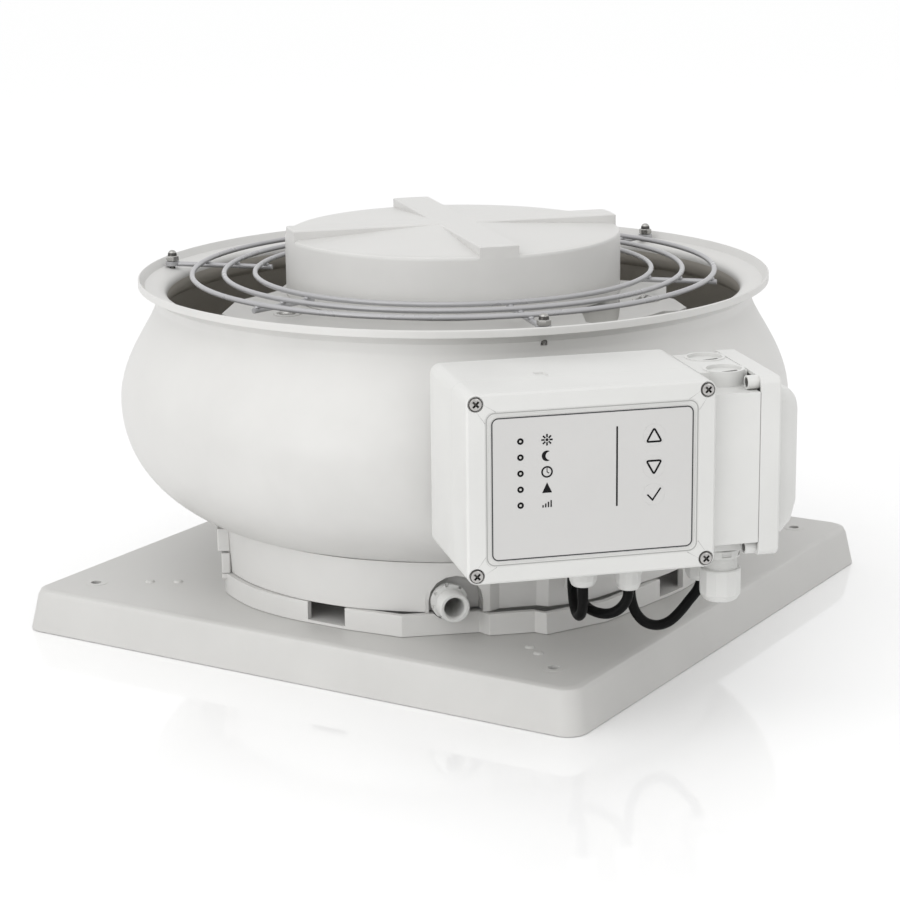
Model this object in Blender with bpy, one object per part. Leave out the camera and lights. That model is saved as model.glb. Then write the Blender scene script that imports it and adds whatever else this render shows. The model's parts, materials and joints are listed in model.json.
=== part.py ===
"""Roof exhaust fan with upward discharge.

A square base tray carries a collar, a neck skirt and a bulged casing. Inside are an inlet cone, a
backward-curved impeller on an external-rotor motor and the bridge that holds the motor. A wire
guard and a ribbed cap close the top. A control box and an isolator sit on the casing's side.

Metres, +Z up. The origin is on the fan's axis, at the level the tray's rim stands on.
In the control panel's own frame d runs out through the panel, t runs sideways along it, z is up.
"""
import math

import bmesh
import bpy
from mathutils import Matrix, Vector

GAP = 0.0003                      # clearance between pieces that touch

# Base tray, a thermoformed square lid
TRAY_HALF = 0.270
TRAY_TOP_HALF = 0.2635
TRAY_HEIGHT = 0.036
TRAY_WALL = 0.004
TRAY_OPENING_R = 0.138
FIXING_HALF_PITCH = 0.225         # four fixing holes on a 450 mm square
FIXING_HOLE_R = 0.0045
FIXING_PAD_R = 0.010              # washer seat round each hole
FIXING_PAD_RISE = 0.0002
PIPS = ((0.1848, -0.1916), (0.1982, -0.2016), (-0.1856, -0.2007), (-0.1644, -0.1888))
PIP_R = 0.0042                    # moulded pips on the tray's top
PIP_RISE = 0.0016

# Collar, skirt and casing
COLLAR_TOP = 0.0542
SKIRT_TOP = 0.0965
SKIRT_WALL = 0.004
SKIRT_FLARE = 0.0025
CASING_R = 0.2886
CASING_WIDE_Z = 0.188
CASING_WALL = 0.004
CASING_FLOOR_R = 0.192
THROAT_R = 0.256
THROAT_Z = 0.272
RIM_R = 0.2703
OUTLET_R = 0.246

# Wire guard
WIRE_R = 0.0022
RING_RADII = {"guard_ring_inner": 0.1703, "guard_ring_middle": 0.1968, "guard_ring_outer": 0.2240}
RING_Z = 0.2934
ROD_Z = RING_Z - 2.0 * WIRE_R - GAP
EYE_TOP = ROD_Z + WIRE_R + 0.0001
ROD_FIRST_ANGLE = -162.8
ROD_INNER_R = 0.164
ROD_OUTER_R = 0.2285
STUD_CIRCLE_R = 0.257
STUD_R = 0.0022
STUD_LOW_Z = 0.2762

# Motor cap and bridge
CAP_R = 0.1438
CAP_WALL = 0.003
CAP_EDGE_Z = 0.3268
CAP_RIB_Z = 0.3348
CAP_RIB_HALF = 0.0165
CAP_RIB_ANGLE = -43.0
CAP_MID_Z = 0.3342                # the sloping top's height at its middle
CAP_MID_R = 0.026
BRIDGE_TOP = 0.275
BRIDGE_PLATE = 0.006
BRIDGE_RIM = 0.018
BRIDGE_EYE_R = 0.055              # the hole over the motor's flange
POST_CIRCLE_R = 0.174
POST_FIRST_ANGLE = -110.2
POST_R = 0.006

# Impeller and motor
IMPELLER_R = 0.155
IMPELLER_PLATE_Z = 0.212
BLADE_COUNT = 7
BLADE_INNER_R = 0.104
ROTOR_R = 0.063
SHAFT_R = 0.0079
BEARING_R = 0.0162
SHROUD_EYE_R = 0.0985
SHROUD_EDGE_Z = 0.126
SHROUD_CONE = (0.1035, 0.1075)    # radius and height where the shroud's cone starts

# Control box; panel_frame turns d onto the diagonal of the tray
PANEL_ANGLE = -45.0
BOX_BACK_D = 0.2913
BOX_SEAM_D = 0.362
BOX_FRONT_D = 0.4071
BOX_MID_T = 0.0046
BOX_MID_Z = 0.2048
BOX_HALF_T = 0.0931
BOX_HALF_Z = 0.0701
BOX_WALL = 0.003
BOX_CORNER_R = 0.008
BOX_SCREW_INSET = 0.0068
PANEL_HALF_T = 0.0753
PANEL_HALF_Z = 0.0527
RECESS_MARGIN = 0.0045
RECESS_STEP = 0.0022              # margin of the inner step that the panel lies in
RECESS_DEPTH = 0.001
FRAME_FALL = 0.0012               # how far the lid's frame slopes back to its edge
SCREW_SEAT_D = BOX_FRONT_D - 0.0022
LID_SCREW_R = 0.0020
KEY_T = 0.0501
KEY_HEIGHTS = {"key_up": 0.2374, "key_down": 0.2136, "key_enter": 0.1934}
KEY_R = 0.0082

# Isolator on the control box's side
ISO_BACK_D = 0.2893
ISO_FRONT_D = 0.395
ISO_NECK_D = (0.301, 0.3765)      # the stretch that carries the lower cable entries
ISO_TOP_NEAR_D = 0.366            # near end of the upper stretch
ISO_BOSSES = (0.3154, 0.3587)     # d of the two blanked entries on top
ISO_BOSS_T = 0.1195
ISO_BOSS_R = 0.0155
ISO_LUG_D = 0.385
ISO_LUG_R = 0.0052
ISO_LUG_T = 0.1275
ISO_START_T = BOX_MID_T + BOX_HALF_T + GAP
ISO_SEAM_T = 0.1355
ISO_LID_T = 0.152
ISO_CREST_T = 0.1733
ISO_LOW_Z = 0.1363
ISO_HIGH_Z = 0.2715
ISO_SHOULDER = 0.0105
ISO_WALL = 0.003
ISO_MID_D = 0.342
ISO_MID_Z = 0.204
KNOB_R = 0.022
KNOB_Z = ISO_MID_Z + 0.004

# Cables and glands
CABLE_R = 0.004
ENTRY_FACE_D = 0.2325
ENTRY_T = 0.0425
ENTRY_HIGH_Z = 0.0865             # where the motor lead goes in
ENTRY_LOW_Z = 0.0755              # where the sensor lead goes in

ROUND = 36                        # segments of a large turned piece
CASING_ROUND = 40                 # segments of the casing, and of the saddle that seats on it
SMALL_ROUND = 12                  # segments of a small turned piece


# ---------------------------------------------------------------- helpers


def clear_scene():
    for item in list(bpy.data.objects):
        bpy.data.objects.remove(item, do_unlink=True)


def make_finish(name, color, roughness, metallic=0.0):
    finish = bpy.data.materials.new(name)
    finish.use_nodes = True
    shader = finish.node_tree.nodes["Principled BSDF"]
    shader.inputs["Base Color"].default_value = (*color, 1.0)
    shader.inputs["Roughness"].default_value = roughness
    shader.inputs["Metallic"].default_value = metallic
    return finish


def make_frame(name, parent=None, location=(0.0, 0.0, 0.0), turn=(0.0, 0.0, 0.0)):
    """An empty: turn is in degrees about X, Y and Z."""
    frame = bpy.data.objects.new(name, None)
    bpy.context.collection.objects.link(frame)
    frame.parent = parent
    frame.location = location
    frame.rotation_euler = [math.radians(angle) for angle in turn]
    return frame


def finish_mesh(name, bm, finish, parent, location=(0.0, 0.0, 0.0), turn=(0.0, 0.0, 0.0)):
    bmesh.ops.remove_doubles(bm, verts=bm.verts, dist=1e-6)
    bmesh.ops.recalc_face_normals(bm, faces=bm.faces)
    mesh = bpy.data.meshes.new(name)
    bm.to_mesh(mesh)
    bm.free()
    mesh.materials.append(finish)
    mesh.shade_smooth()
    mesh.set_sharp_from_angle(angle=math.radians(30.0))
    item = bpy.data.objects.new(name, mesh)
    bpy.context.collection.objects.link(item)
    item.parent = parent
    item.location = location
    item.rotation_euler = [math.radians(angle) for angle in turn]
    return item


def spun_bmesh(outline, steps):
    """Spin a closed outline of (radius, height) points about the Z axis."""
    bm = bmesh.new()
    verts = [bm.verts.new((radius, 0.0, height)) for radius, height in outline]
    pairs = [(a, b) for a, b in zip(verts, verts[1:] + verts[:1]) if a.co.x > 0.0 or b.co.x > 0.0]
    edges = [bm.edges.new(pair) for pair in pairs]
    bmesh.ops.spin(bm, geom=verts + edges, cent=(0.0, 0.0, 0.0), axis=(0.0, 0.0, 1.0),
                   angle=2.0 * math.pi, steps=steps, use_merge=True)
    return bm


def turned(name, outline, finish, parent, steps=ROUND, location=(0.0, 0.0, 0.0), turn=(0.0, 0.0, 0.0)):
    return finish_mesh(name, spun_bmesh(outline, steps), finish, parent, location, turn)


def stacked_bmesh(levels):
    """Join loops of equal point count into one skin, with a cap on the first and the last loop."""
    bm = bmesh.new()
    loops = [[bm.verts.new((x, y, height)) for x, y in outline] for outline, height in levels]
    count = len(loops[0])
    for low, high in zip(loops, loops[1:]):
        for i in range(count):
            j = (i + 1) % count
            bm.faces.new((low[i], low[j], high[j], high[i]))
    bm.faces.new(loops[0])
    bm.faces.new(loops[-1])
    return bm


def stacked(name, levels, finish, parent, location=(0.0, 0.0, 0.0), turn=(0.0, 0.0, 0.0)):
    return finish_mesh(name, stacked_bmesh(levels), finish, parent, location, turn)


def rounded_rect(half_x, half_y, radius, mid=(0.0, 0.0), corner_steps=3):
    points = []
    for quarter in range(4):
        sign_x = (1, -1, -1, 1)[quarter]
        sign_y = (1, 1, -1, -1)[quarter]
        centre_x = mid[0] + sign_x * (half_x - radius)
        centre_y = mid[1] + sign_y * (half_y - radius)
        for step in range(corner_steps + 1):
            angle = math.radians(90.0 * quarter + 90.0 * step / corner_steps)
            points.append((centre_x + radius * math.cos(angle), centre_y + radius * math.sin(angle)))
    return points


def disc(radius, mid=(0.0, 0.0), steps=SMALL_ROUND):
    angles = [2.0 * math.pi * i / steps for i in range(steps)]
    return [(mid[0] + radius * math.cos(a), mid[1] + radius * math.sin(a)) for a in angles]


def polar_outline(stations, grow=0.0, arc_step=7.5):
    """Points of an outline given as (degrees, radius, kind); kind 'arc' bends to the next station."""
    points = []
    count = len(stations)
    for i, (angle, radius, kind) in enumerate(stations):
        next_angle, next_radius, _ = stations[(i + 1) % count]
        if next_angle <= angle:
            next_angle += 360.0
        pieces = max(1, math.ceil((next_angle - angle) / arc_step)) if kind == "arc" else 1
        for piece in range(pieces):
            share = piece / pieces
            here = math.radians(angle + share * (next_angle - angle))
            reach = radius + share * (next_radius - radius) + grow
            points.append((reach * math.cos(here), reach * math.sin(here)))
    return points


def shrunk(points, inset):
    """Move every edge of an anticlockwise polygon inwards."""
    result = []
    count = len(points)
    for i in range(count):
        before, here, after = (Vector(points[(i + k) % count]) for k in (-1, 0, 1))
        first = (here - before).normalized()
        second = (after - here).normalized()
        normal_a = Vector((-first.y, first.x))
        normal_b = Vector((-second.y, second.x))
        middle = (normal_a + normal_b).normalized()
        result.append(tuple(here + middle * (inset / max(0.3, middle.dot(normal_a)))))
    return result


def bezier(start, handle_a, handle_b, end, steps):
    points = []
    for i in range(steps + 1):
        u = i / steps
        v = 1.0 - u
        points.append(tuple(v ** 3 * a + 3.0 * v * v * u * b + 3.0 * v * u * u * c + u ** 3 * e
                            for a, b, c, e in zip(start, handle_a, handle_b, end)))
    return points


def offset_path(path, distance):
    """Shift an open path sideways, to its left."""
    result = []
    for i, point in enumerate(path):
        before = Vector(path[max(0, i - 1)])
        after = Vector(path[min(len(path) - 1, i + 1)])
        along = (after - before).normalized()
        result.append((point[0] - along.y * distance, point[1] + along.x * distance))
    return result


def make_cutter(name, bm, parent, location=(0.0, 0.0, 0.0), turn=(0.0, 0.0, 0.0)):
    cutter = finish_mesh(name, bm, CUTTER_FINISH, parent, location, turn)
    cutter.hide_render = True
    cutter.display_type = "WIRE"
    return cutter


def join_bmeshes(parts):
    """Collect several bmeshes that stay clear of each other."""
    whole = bmesh.new()
    for part in parts:
        mesh = bpy.data.meshes.new("scratch")
        part.to_mesh(mesh)
        part.free()
        whole.from_mesh(mesh)
        bpy.data.meshes.remove(mesh)
    return whole


def rods_bmesh(places, low, high, steps=SMALL_ROUND):
    """Upright cylinders: places holds (x, y, radius)."""
    rods = []
    for x, y, radius in places:
        loop = disc(radius, (x, y), steps)
        rods.append(stacked_bmesh([(loop, low), (loop, high)]))
    return join_bmeshes(rods)


def combine(item, other, operation):
    change = item.modifiers.new(operation.lower(), "BOOLEAN")
    change.operation = operation
    change.solver = "EXACT"
    change.object = other


def around(radius, degrees):
    return radius * math.cos(math.radians(degrees)), radius * math.sin(math.radians(degrees))


# ---------------------------------------------------------------- base, collar and skirt


def pips_bmesh():
    """Low domes on the tray's top."""
    pips = []
    for mid in PIPS:
        levels = [(1.0, -0.003), (1.0, 0.0), (0.80, 0.7 * PIP_RISE), (0.45, PIP_RISE)]
        loops = [(disc(share * PIP_R, mid), TRAY_HEIGHT + rise) for share, rise in levels]
        pips.append(stacked_bmesh(loops))
    return join_bmeshes(pips)


def make_base_tray():
    inner = TRAY_HALF - TRAY_WALL
    levels = [
        (rounded_rect(TRAY_TOP_HALF - 0.008, TRAY_TOP_HALF - 0.008, 0.010), TRAY_HEIGHT - TRAY_WALL),
        (rounded_rect(TRAY_TOP_HALF - 0.0045, TRAY_TOP_HALF - 0.0045, 0.012), 0.028),
        (rounded_rect(inner, inner, 0.014), 0.0),
        (rounded_rect(TRAY_HALF, TRAY_HALF, 0.017), 0.0),
        (rounded_rect(TRAY_TOP_HALF + 0.0012, TRAY_TOP_HALF + 0.0012, 0.016), 0.0295),
        (rounded_rect(TRAY_TOP_HALF - 0.001, TRAY_TOP_HALF - 0.001, 0.0145), 0.034),
        (rounded_rect(TRAY_TOP_HALF - 0.006, TRAY_TOP_HALF - 0.006, 0.011), TRAY_HEIGHT),
    ]
    tray = stacked("base_tray", levels, TRAY_PLASTIC, fan_axis)
    half = FIXING_HALF_PITCH
    corners = [(x, y) for x in (-half, half) for y in (-half, half)]
    pads = rods_bmesh([(x, y, FIXING_PAD_R) for x, y in corners], 0.033, TRAY_HEIGHT + FIXING_PAD_RISE, 24)
    combine(tray, make_cutter("tray_pads_guide", pads, fan_axis), "UNION")
    combine(tray, make_cutter("tray_pips_guide", pips_bmesh(), fan_axis), "UNION")
    holes = rods_bmesh([(x, y, FIXING_HOLE_R) for x, y in corners], 0.02, 0.05)
    combine(tray, make_cutter("tray_fixings_cutter", holes, fan_axis), "DIFFERENCE")
    opening = rods_bmesh([(0.0, 0.0, TRAY_OPENING_R)], 0.02, 0.05, ROUND)
    combine(tray, make_cutter("tray_opening_cutter", opening, fan_axis), "DIFFERENCE")


def make_base_seal():
    high = TRAY_HEIGHT - TRAY_WALL - GAP
    low = high - 0.006
    seal = stacked("base_seal", [(rounded_rect(0.2535, 0.2535, 0.008), low),
                                 (rounded_rect(0.2535, 0.2535, 0.008), high)], SEAL_FOAM, fan_axis)
    hole = stacked_bmesh([(rounded_rect(0.235, 0.235, 0.008), low - 0.01),
                          (rounded_rect(0.235, 0.235, 0.008), high + 0.01)])
    combine(seal, make_cutter("seal_cutter", hole, fan_axis), "DIFFERENCE")


def make_inlet_cone():
    low = TRAY_HEIGHT + GAP
    outside = [(0.160, low), (0.160, low + 0.002), (0.135, low + 0.002)]
    outside += bezier((0.118, 0.044), (0.104, 0.052), (0.0965, 0.070), (0.0956, 0.092), 3)
    inside = bezier((0.0940, 0.092), (0.0949, 0.070), (0.1025, 0.051), (0.116, 0.042), 3)
    inside.append((0.134, low))
    turned("inlet_cone", outside + inside, ZINC_SHEET, fan_axis)


COLLAR_STATIONS = [
    (-120.0, 0.2226, "arc"), (-106.5, 0.2275, "arc"), (-92.8, 0.2275, "flat"), (-81.5, 0.2300, "flat"),
    (-69.1, 0.2375, "flat"), (-53.8, 0.2235, "flat"), (-52.0, 0.2330, "flat"), (-42.9, 0.2327, "flat"),
    (-41.2, 0.2415, "flat"), (-27.0, 0.2332, "flat"), (-9.5, 0.2206, "arc"), (20.0, 0.2260, "arc"),
    (180.0, 0.2260, "flat"),
]
SKIRT_STATIONS = [
    (-120.0, 0.2180, "arc"), (-108.0, 0.2225, "arc"), (-93.0, 0.2258, "arc"), (-81.0, 0.2275, "arc"),
    (-64.0, 0.2268, "arc"), (-51.7, 0.2266, "flat"), (-49.6, 0.2205, "flat"), (-41.6, 0.2200, "flat"),
    (-39.5, 0.2263, "flat"), (-34.0, 0.2263, "flat"), (-28.0, 0.2235, "flat"), (-9.6, 0.2166, "arc"),
    (20.0, 0.2240, "arc"), (180.0, 0.2240, "flat"),
]
LUG_PLACE = (-0.1085, -0.1905)    # the corner where the round wall meets the flat one
LUG_ANGLE = -148.0
SKIRT_LUGS = (("upper", 0.0740, 0.0930, 0.0105), ("lower", 0.0547, 0.0718, 0.0075))


def lug_bmesh(low, high, reach):
    """A small upright lug that stands out of the wall at LUG_PLACE."""
    bm = stacked_bmesh([(rounded_rect(0.5 * reach, 0.006, 0.0015), low),
                        (rounded_rect(0.5 * reach, 0.006, 0.0015), high)])
    out_x, out_y = around(0.5 * reach - 0.002, LUG_ANGLE)
    turn = Matrix.Rotation(math.radians(LUG_ANGLE), 4, "Z")
    bm.transform(Matrix.Translation((LUG_PLACE[0] + out_x, LUG_PLACE[1] + out_y, 0.0)) @ turn)
    return bm


def make_collar():
    low = TRAY_HEIGHT + GAP
    flange_top = low + 0.0025
    outer = polar_outline(COLLAR_STATIONS)
    collar = stacked("base_collar", [(outer, low), (outer, COLLAR_TOP)], CASING_PLASTIC, fan_axis)
    lug = make_cutter("collar_lug_guide", lug_bmesh(0.050, COLLAR_TOP - 0.0002, 0.0075), fan_axis)
    combine(collar, lug, "UNION")
    inner = polar_outline(COLLAR_STATIONS, -0.005)
    pocket = stacked_bmesh([(inner, flange_top), (inner, COLLAR_TOP + 0.01)])
    combine(collar, make_cutter("collar_pocket_cutter", pocket, fan_axis), "DIFFERENCE")
    eye = rods_bmesh([(0.0, 0.0, 0.188)], 0.02, 0.08, ROUND)
    combine(collar, make_cutter("collar_eye_cutter", eye, fan_axis), "DIFFERENCE")
    notch = rods_bmesh([(SPIGOT_T, SPIGOT_Z, 0.0158)], 0.19, 0.26, 24)
    combine(collar, make_cutter("collar_notch_cutter", notch, face_frame), "DIFFERENCE")
    slots = []
    for start, end in ((-90.6, -81.5), (-8.5, 0.6), (81.5, 90.6)):
        wedge = [around(0.205, start), around(0.260, start), around(0.260, end), around(0.205, end)]
        slots.append(stacked_bmesh([(wedge, flange_top + 0.0002), (wedge, COLLAR_TOP + 0.01)]))
    combine(collar, make_cutter("collar_slot_cutter", join_bmeshes(slots), fan_axis), "DIFFERENCE")


def arch_outline(half_width, low, spring, mid, steps=8):
    """An opening with upright sides and a round head, in the (t, z) plane."""
    points = [(mid - half_width, low), (mid + half_width, low)]
    for i in range(steps + 1):
        angle = math.pi * i / steps
        points.append((mid + half_width * math.cos(angle), spring + half_width * math.sin(angle)))
    return points


SPIGOT_T = -0.0587
SPIGOT_Z = 0.0645
ARCH_T = -0.0531
ARCH_HALF = 0.0212


def make_skirt():
    low = COLLAR_TOP + GAP
    outside = [(polar_outline(SKIRT_STATIONS), low), (polar_outline(SKIRT_STATIONS, SKIRT_FLARE), SKIRT_TOP)]
    inside = [(polar_outline(SKIRT_STATIONS, -SKIRT_WALL), low - 0.01),
              (polar_outline(SKIRT_STATIONS, SKIRT_FLARE - SKIRT_WALL), SKIRT_TOP + 0.01)]
    skirt = stacked("neck_skirt", outside, CASING_PLASTIC, fan_axis)
    for name, bottom, top, reach in SKIRT_LUGS:
        lug = make_cutter(f"skirt_{name}_lug_guide", lug_bmesh(bottom, top, reach), fan_axis)
        combine(skirt, lug, "UNION")
    combine(skirt, make_cutter("skirt_inside_cutter", stacked_bmesh(inside), fan_axis), "DIFFERENCE")
    niche = arch_outline(ARCH_HALF + 0.003, low, SPIGOT_Z + 0.0008, ARCH_T)
    block = stacked_bmesh([(niche, 0.2060), (niche, 0.2150)])
    combine(skirt, make_cutter("niche_guide", block, face_frame), "UNION")
    side_a, side_b = ENTRY_T - 0.007, ENTRY_T + 0.007
    entry = [(0.2210, side_a), (ENTRY_FACE_D, side_a), (ENTRY_FACE_D, side_b), (0.2175, side_b)]
    entry = stacked_bmesh([(entry, ENTRY_LOW_Z - 0.006), (entry, ENTRY_HIGH_Z + 0.006)])
    combine(skirt, make_cutter("cable_entry_guide", entry, panel_frame), "UNION")
    arch = arch_outline(ARCH_HALF, low - 0.01, SPIGOT_Z, ARCH_T)
    recess = stacked_bmesh([(arch, 0.2090), (arch, 0.2600)])
    combine(skirt, make_cutter("arch_cutter", recess, face_frame), "DIFFERENCE")
    hole = rods_bmesh([(SPIGOT_T, SPIGOT_Z, 0.0106)], 0.19, 0.23)
    combine(skirt, make_cutter("spigot_hole_cutter", hole, face_frame), "DIFFERENCE")


def make_spigot():
    """A gland body without its cap nut: a tube with a lock ring, through the niche's back wall."""
    outline = [
        (0.0080, 0.1980), (0.0103, 0.1980), (0.0103, 0.2180), (0.0148, 0.2180), (0.0148, 0.2235),
        (0.0112, 0.2245), (0.0112, 0.2270), (0.0123, 0.2275), (0.0123, 0.2400), (0.0118, 0.2405),
        (0.0092, 0.2405), (0.0080, 0.2380),
    ]
    turned("cable_spigot", outline, GLAND_PLASTIC, face_frame, SMALL_ROUND, (SPIGOT_T, SPIGOT_Z, 0.0))


# ---------------------------------------------------------------- casing


def casing_side():
    """The casing's outer side, from its foot up to the throat."""
    wide = (CASING_R, CASING_WIDE_Z)
    lower = bezier((0.229, SKIRT_TOP + GAP), (0.256, 0.1105), (CASING_R, 0.138), wide, 5)
    upper = bezier(wide, (CASING_R, 0.226), (THROAT_R, 0.256), (THROAT_R, THROAT_Z), 4)
    return lower + upper[1:]


def make_casing():
    side = casing_side()
    inner_side = [point for point in offset_path(side, CASING_WALL) if 0.102 < point[1] < 0.262]
    foot = SKIRT_TOP + GAP
    rim = [
        (0.2580, 0.2790), (0.2630, 0.2836), (RIM_R, 0.2862), (RIM_R, 0.2918), (0.2690, 0.2926),
        (0.2645, 0.2864), (0.2500, 0.2834), (OUTLET_R, 0.2795), (0.2490, 0.2715),
    ]
    floor = [(0.2250, foot + CASING_WALL), (CASING_FLOOR_R, foot + CASING_WALL), (CASING_FLOOR_R, foot)]
    outline = side + rim + inner_side[::-1] + floor
    casing = turned("bowl_casing", outline, CASING_PLASTIC, fan_axis, CASING_ROUND)
    places = [(*around(STUD_CIRCLE_R, ROD_FIRST_ANGLE + 120.0 * i), STUD_R + 0.0004) for i in range(3)]
    holes = rods_bmesh(places, STUD_LOW_Z - 0.0007, 0.30, 12)
    combine(casing, make_cutter("stud_hole_cutter", holes, fan_axis), "DIFFERENCE")


# ---------------------------------------------------------------- motor, impeller and bridge

BRIDGE_STATIONS = [
    (-150.0, 0.1500, "flat"), (-144.0, 0.1600, "flat"), (-134.5, 0.1897, "flat"), (-120.5, 0.2165, "arc"),
    (-101.0, 0.2165, "flat"), (-99.0, 0.2050, "arc"), (-1.0, 0.2050, "flat"), (1.0, 0.2160, "flat"),
    (5.0, 0.2155, "flat"), (14.0, 0.1950, "flat"), (16.0, 0.1865, "flat"), (34.0, 0.1850, "flat"),
    (40.4, 0.1820, "flat"), (41.0, 0.1630, "flat"), (44.0, 0.1500, "arc"), (98.0, 0.1500, "flat"),
    (108.0, 0.1897, "flat"), (118.0, 0.2160, "arc"), (142.0, 0.2160, "flat"), (152.0, 0.1897, "flat"),
    (162.0, 0.1500, "arc"),
]


def post_angles():
    return [POST_FIRST_ANGLE + 120.0 * i for i in range(3)]


def make_bridge():
    outline = polar_outline(BRIDGE_STATIONS)
    low = BRIDGE_TOP - BRIDGE_RIM
    bridge = stacked("motor_bridge", [(outline, low), (outline, BRIDGE_TOP)], BRIDGE_PLASTIC, fan_axis)
    inner = shrunk(outline, 0.003)
    pocket = stacked_bmesh([(inner, low - 0.01), (inner, BRIDGE_TOP - BRIDGE_PLATE)])
    combine(bridge, make_cutter("bridge_pocket_cutter", pocket, fan_axis), "DIFFERENCE")
    places = [(*around(POST_CIRCLE_R, angle), 0.0029) for angle in post_angles()]
    places.append((0.0, 0.0, BRIDGE_EYE_R))
    holes = rods_bmesh(places, 0.24, 0.29, 20)
    combine(bridge, make_cutter("bridge_hole_cutter", holes, fan_axis), "DIFFERENCE")


def make_posts():
    low = TRAY_HEIGHT + GAP
    high = BRIDGE_TOP - BRIDGE_PLATE - GAP
    post = [
        (0.0, low), (0.011, low), (0.011, low + 0.003), (POST_R, low + 0.006), (POST_R, high), (0.0, high),
    ]
    head_z = BRIDGE_TOP + GAP
    screw = [
        (0.0, high + GAP), (0.0025, high + GAP), (0.0025, head_z), (0.0068, head_z),
        (0.0062, head_z + 0.0022), (0.0036, head_z + 0.0036), (0.0, head_z + 0.0040),
    ]
    for number, angle in enumerate(post_angles(), 1):
        place = (*around(POST_CIRCLE_R, angle), 0.0)
        turned(f"bridge_post_{number}", post, ZINC_SHEET, fan_axis, 12, place)
        turned(f"bridge_screw_{number}", screw, STAINLESS, fan_axis, 12, place)


def make_motor():
    top = BRIDGE_TOP - BRIDGE_PLATE - GAP
    seat = BEARING_R + GAP
    stator = [
        (seat, 0.190), (0.050, 0.190), (0.050, 0.250), (0.035, 0.252), (0.035, 0.2627), (0.072, 0.2627),
        (0.072, top), (seat, top), (seat, top - 0.0097), (0.0105, top - 0.0097), (0.0105, 0.1996),
        (seat, 0.1996),
    ]
    turned("motor_stator", stator, MOTOR_METAL, fan_axis, 24)
    for name, low in (("motor_bearing_lower", 0.1903), ("motor_bearing_upper", top - 0.0094)):
        ring = [(0.0082, low), (BEARING_R, low), (BEARING_R, low + 0.009), (0.0082, low + 0.009)]
        turned(name, ring, STAINLESS, fan_axis, 16)
    shaft_top = top - 0.0005
    shaft = [(0.0, 0.1728), (0.0072, 0.1728), (SHAFT_R, 0.1735), (SHAFT_R, shaft_top), (0.0, shaft_top)]
    turned("motor_shaft", shaft, STAINLESS, rotor_frame, 16)
    rotor = [
        (0.0, 0.168), (0.056, 0.168), (0.0612, 0.1698), (ROTOR_R, 0.175), (ROTOR_R, 0.246), (0.054, 0.246),
        (0.054, 0.178), (0.018, 0.178), (0.018, 0.187), (0.0082, 0.187), (0.0082, 0.1725), (0.0, 0.1725),
    ]
    turned("motor_rotor", rotor, MOTOR_METAL, rotor_frame, 24)


def blade_foot(radius):
    """Height of a blade's lower edge, just above the shroud's cone."""
    cone_r, cone_z = SHROUD_CONE
    rise = (SHROUD_EDGE_Z - cone_z) / (IMPELLER_R - cone_r)
    return cone_z + (radius - cone_r) * rise + 0.0005


def blade_bmesh(start_angle):
    """One backward-curved blade: a bent plate between the shroud and the hub plate."""
    bm = bmesh.new()
    columns = []
    for i in range(6):
        share = i / 5.0
        radius = BLADE_INNER_R + 0.001 + share * (IMPELLER_R - BLADE_INNER_R - 0.004)
        angle = start_angle - 46.0 * share ** 0.85
        ring = []
        for side in (-1.0, 1.0):
            shift = math.degrees(side * 0.0014 / radius) * 1.6
            x, y = around(radius, angle + shift)
            heights = (blade_foot(radius), IMPELLER_PLATE_Z + 0.0015)
            ring.append([bm.verts.new((x, y, z)) for z in heights])
        columns.append(ring)
    for (a, b), (c, d) in zip(columns, columns[1:]):
        bm.faces.new((a[0], c[0], c[1], a[1]))
        bm.faces.new((b[0], b[1], d[1], d[0]))
        bm.faces.new((a[0], b[0], d[0], c[0]))
        bm.faces.new((a[1], c[1], d[1], b[1]))
    for a, b in (columns[0], columns[-1]):
        bm.faces.new((a[0], a[1], b[1], b[0]))
    bmesh.ops.recalc_face_normals(bm, faces=bm.faces)
    return bm


def make_impeller():
    bore = ROTOR_R + GAP
    plate = [
        (bore, 0.197), (bore + 0.004, 0.197), (bore + 0.004, 0.209), (bore + 0.008, IMPELLER_PLATE_Z),
        (IMPELLER_R, IMPELLER_PLATE_Z), (IMPELLER_R, 0.215), (bore, 0.215),
    ]
    wheel = turned("impeller_wheel", plate, IMPELLER_PLASTIC, rotor_frame, 32)
    blades = join_bmeshes([blade_bmesh(360.0 * i / BLADE_COUNT) for i in range(BLADE_COUNT)])
    combine(wheel, make_cutter("impeller_blades_guide", blades, rotor_frame), "UNION")
    shroud = [
        (IMPELLER_R, SHROUD_EDGE_Z), SHROUD_CONE, (SHROUD_EYE_R, 0.0985), (SHROUD_EYE_R, 0.0860),
        (0.1005, 0.0860), (0.1005, 0.0978), (0.1050, 0.1055), (IMPELLER_R, SHROUD_EDGE_Z - 0.0022),
    ]
    turned("impeller_shroud", shroud, IMPELLER_PLASTIC, rotor_frame, 32)


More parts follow.
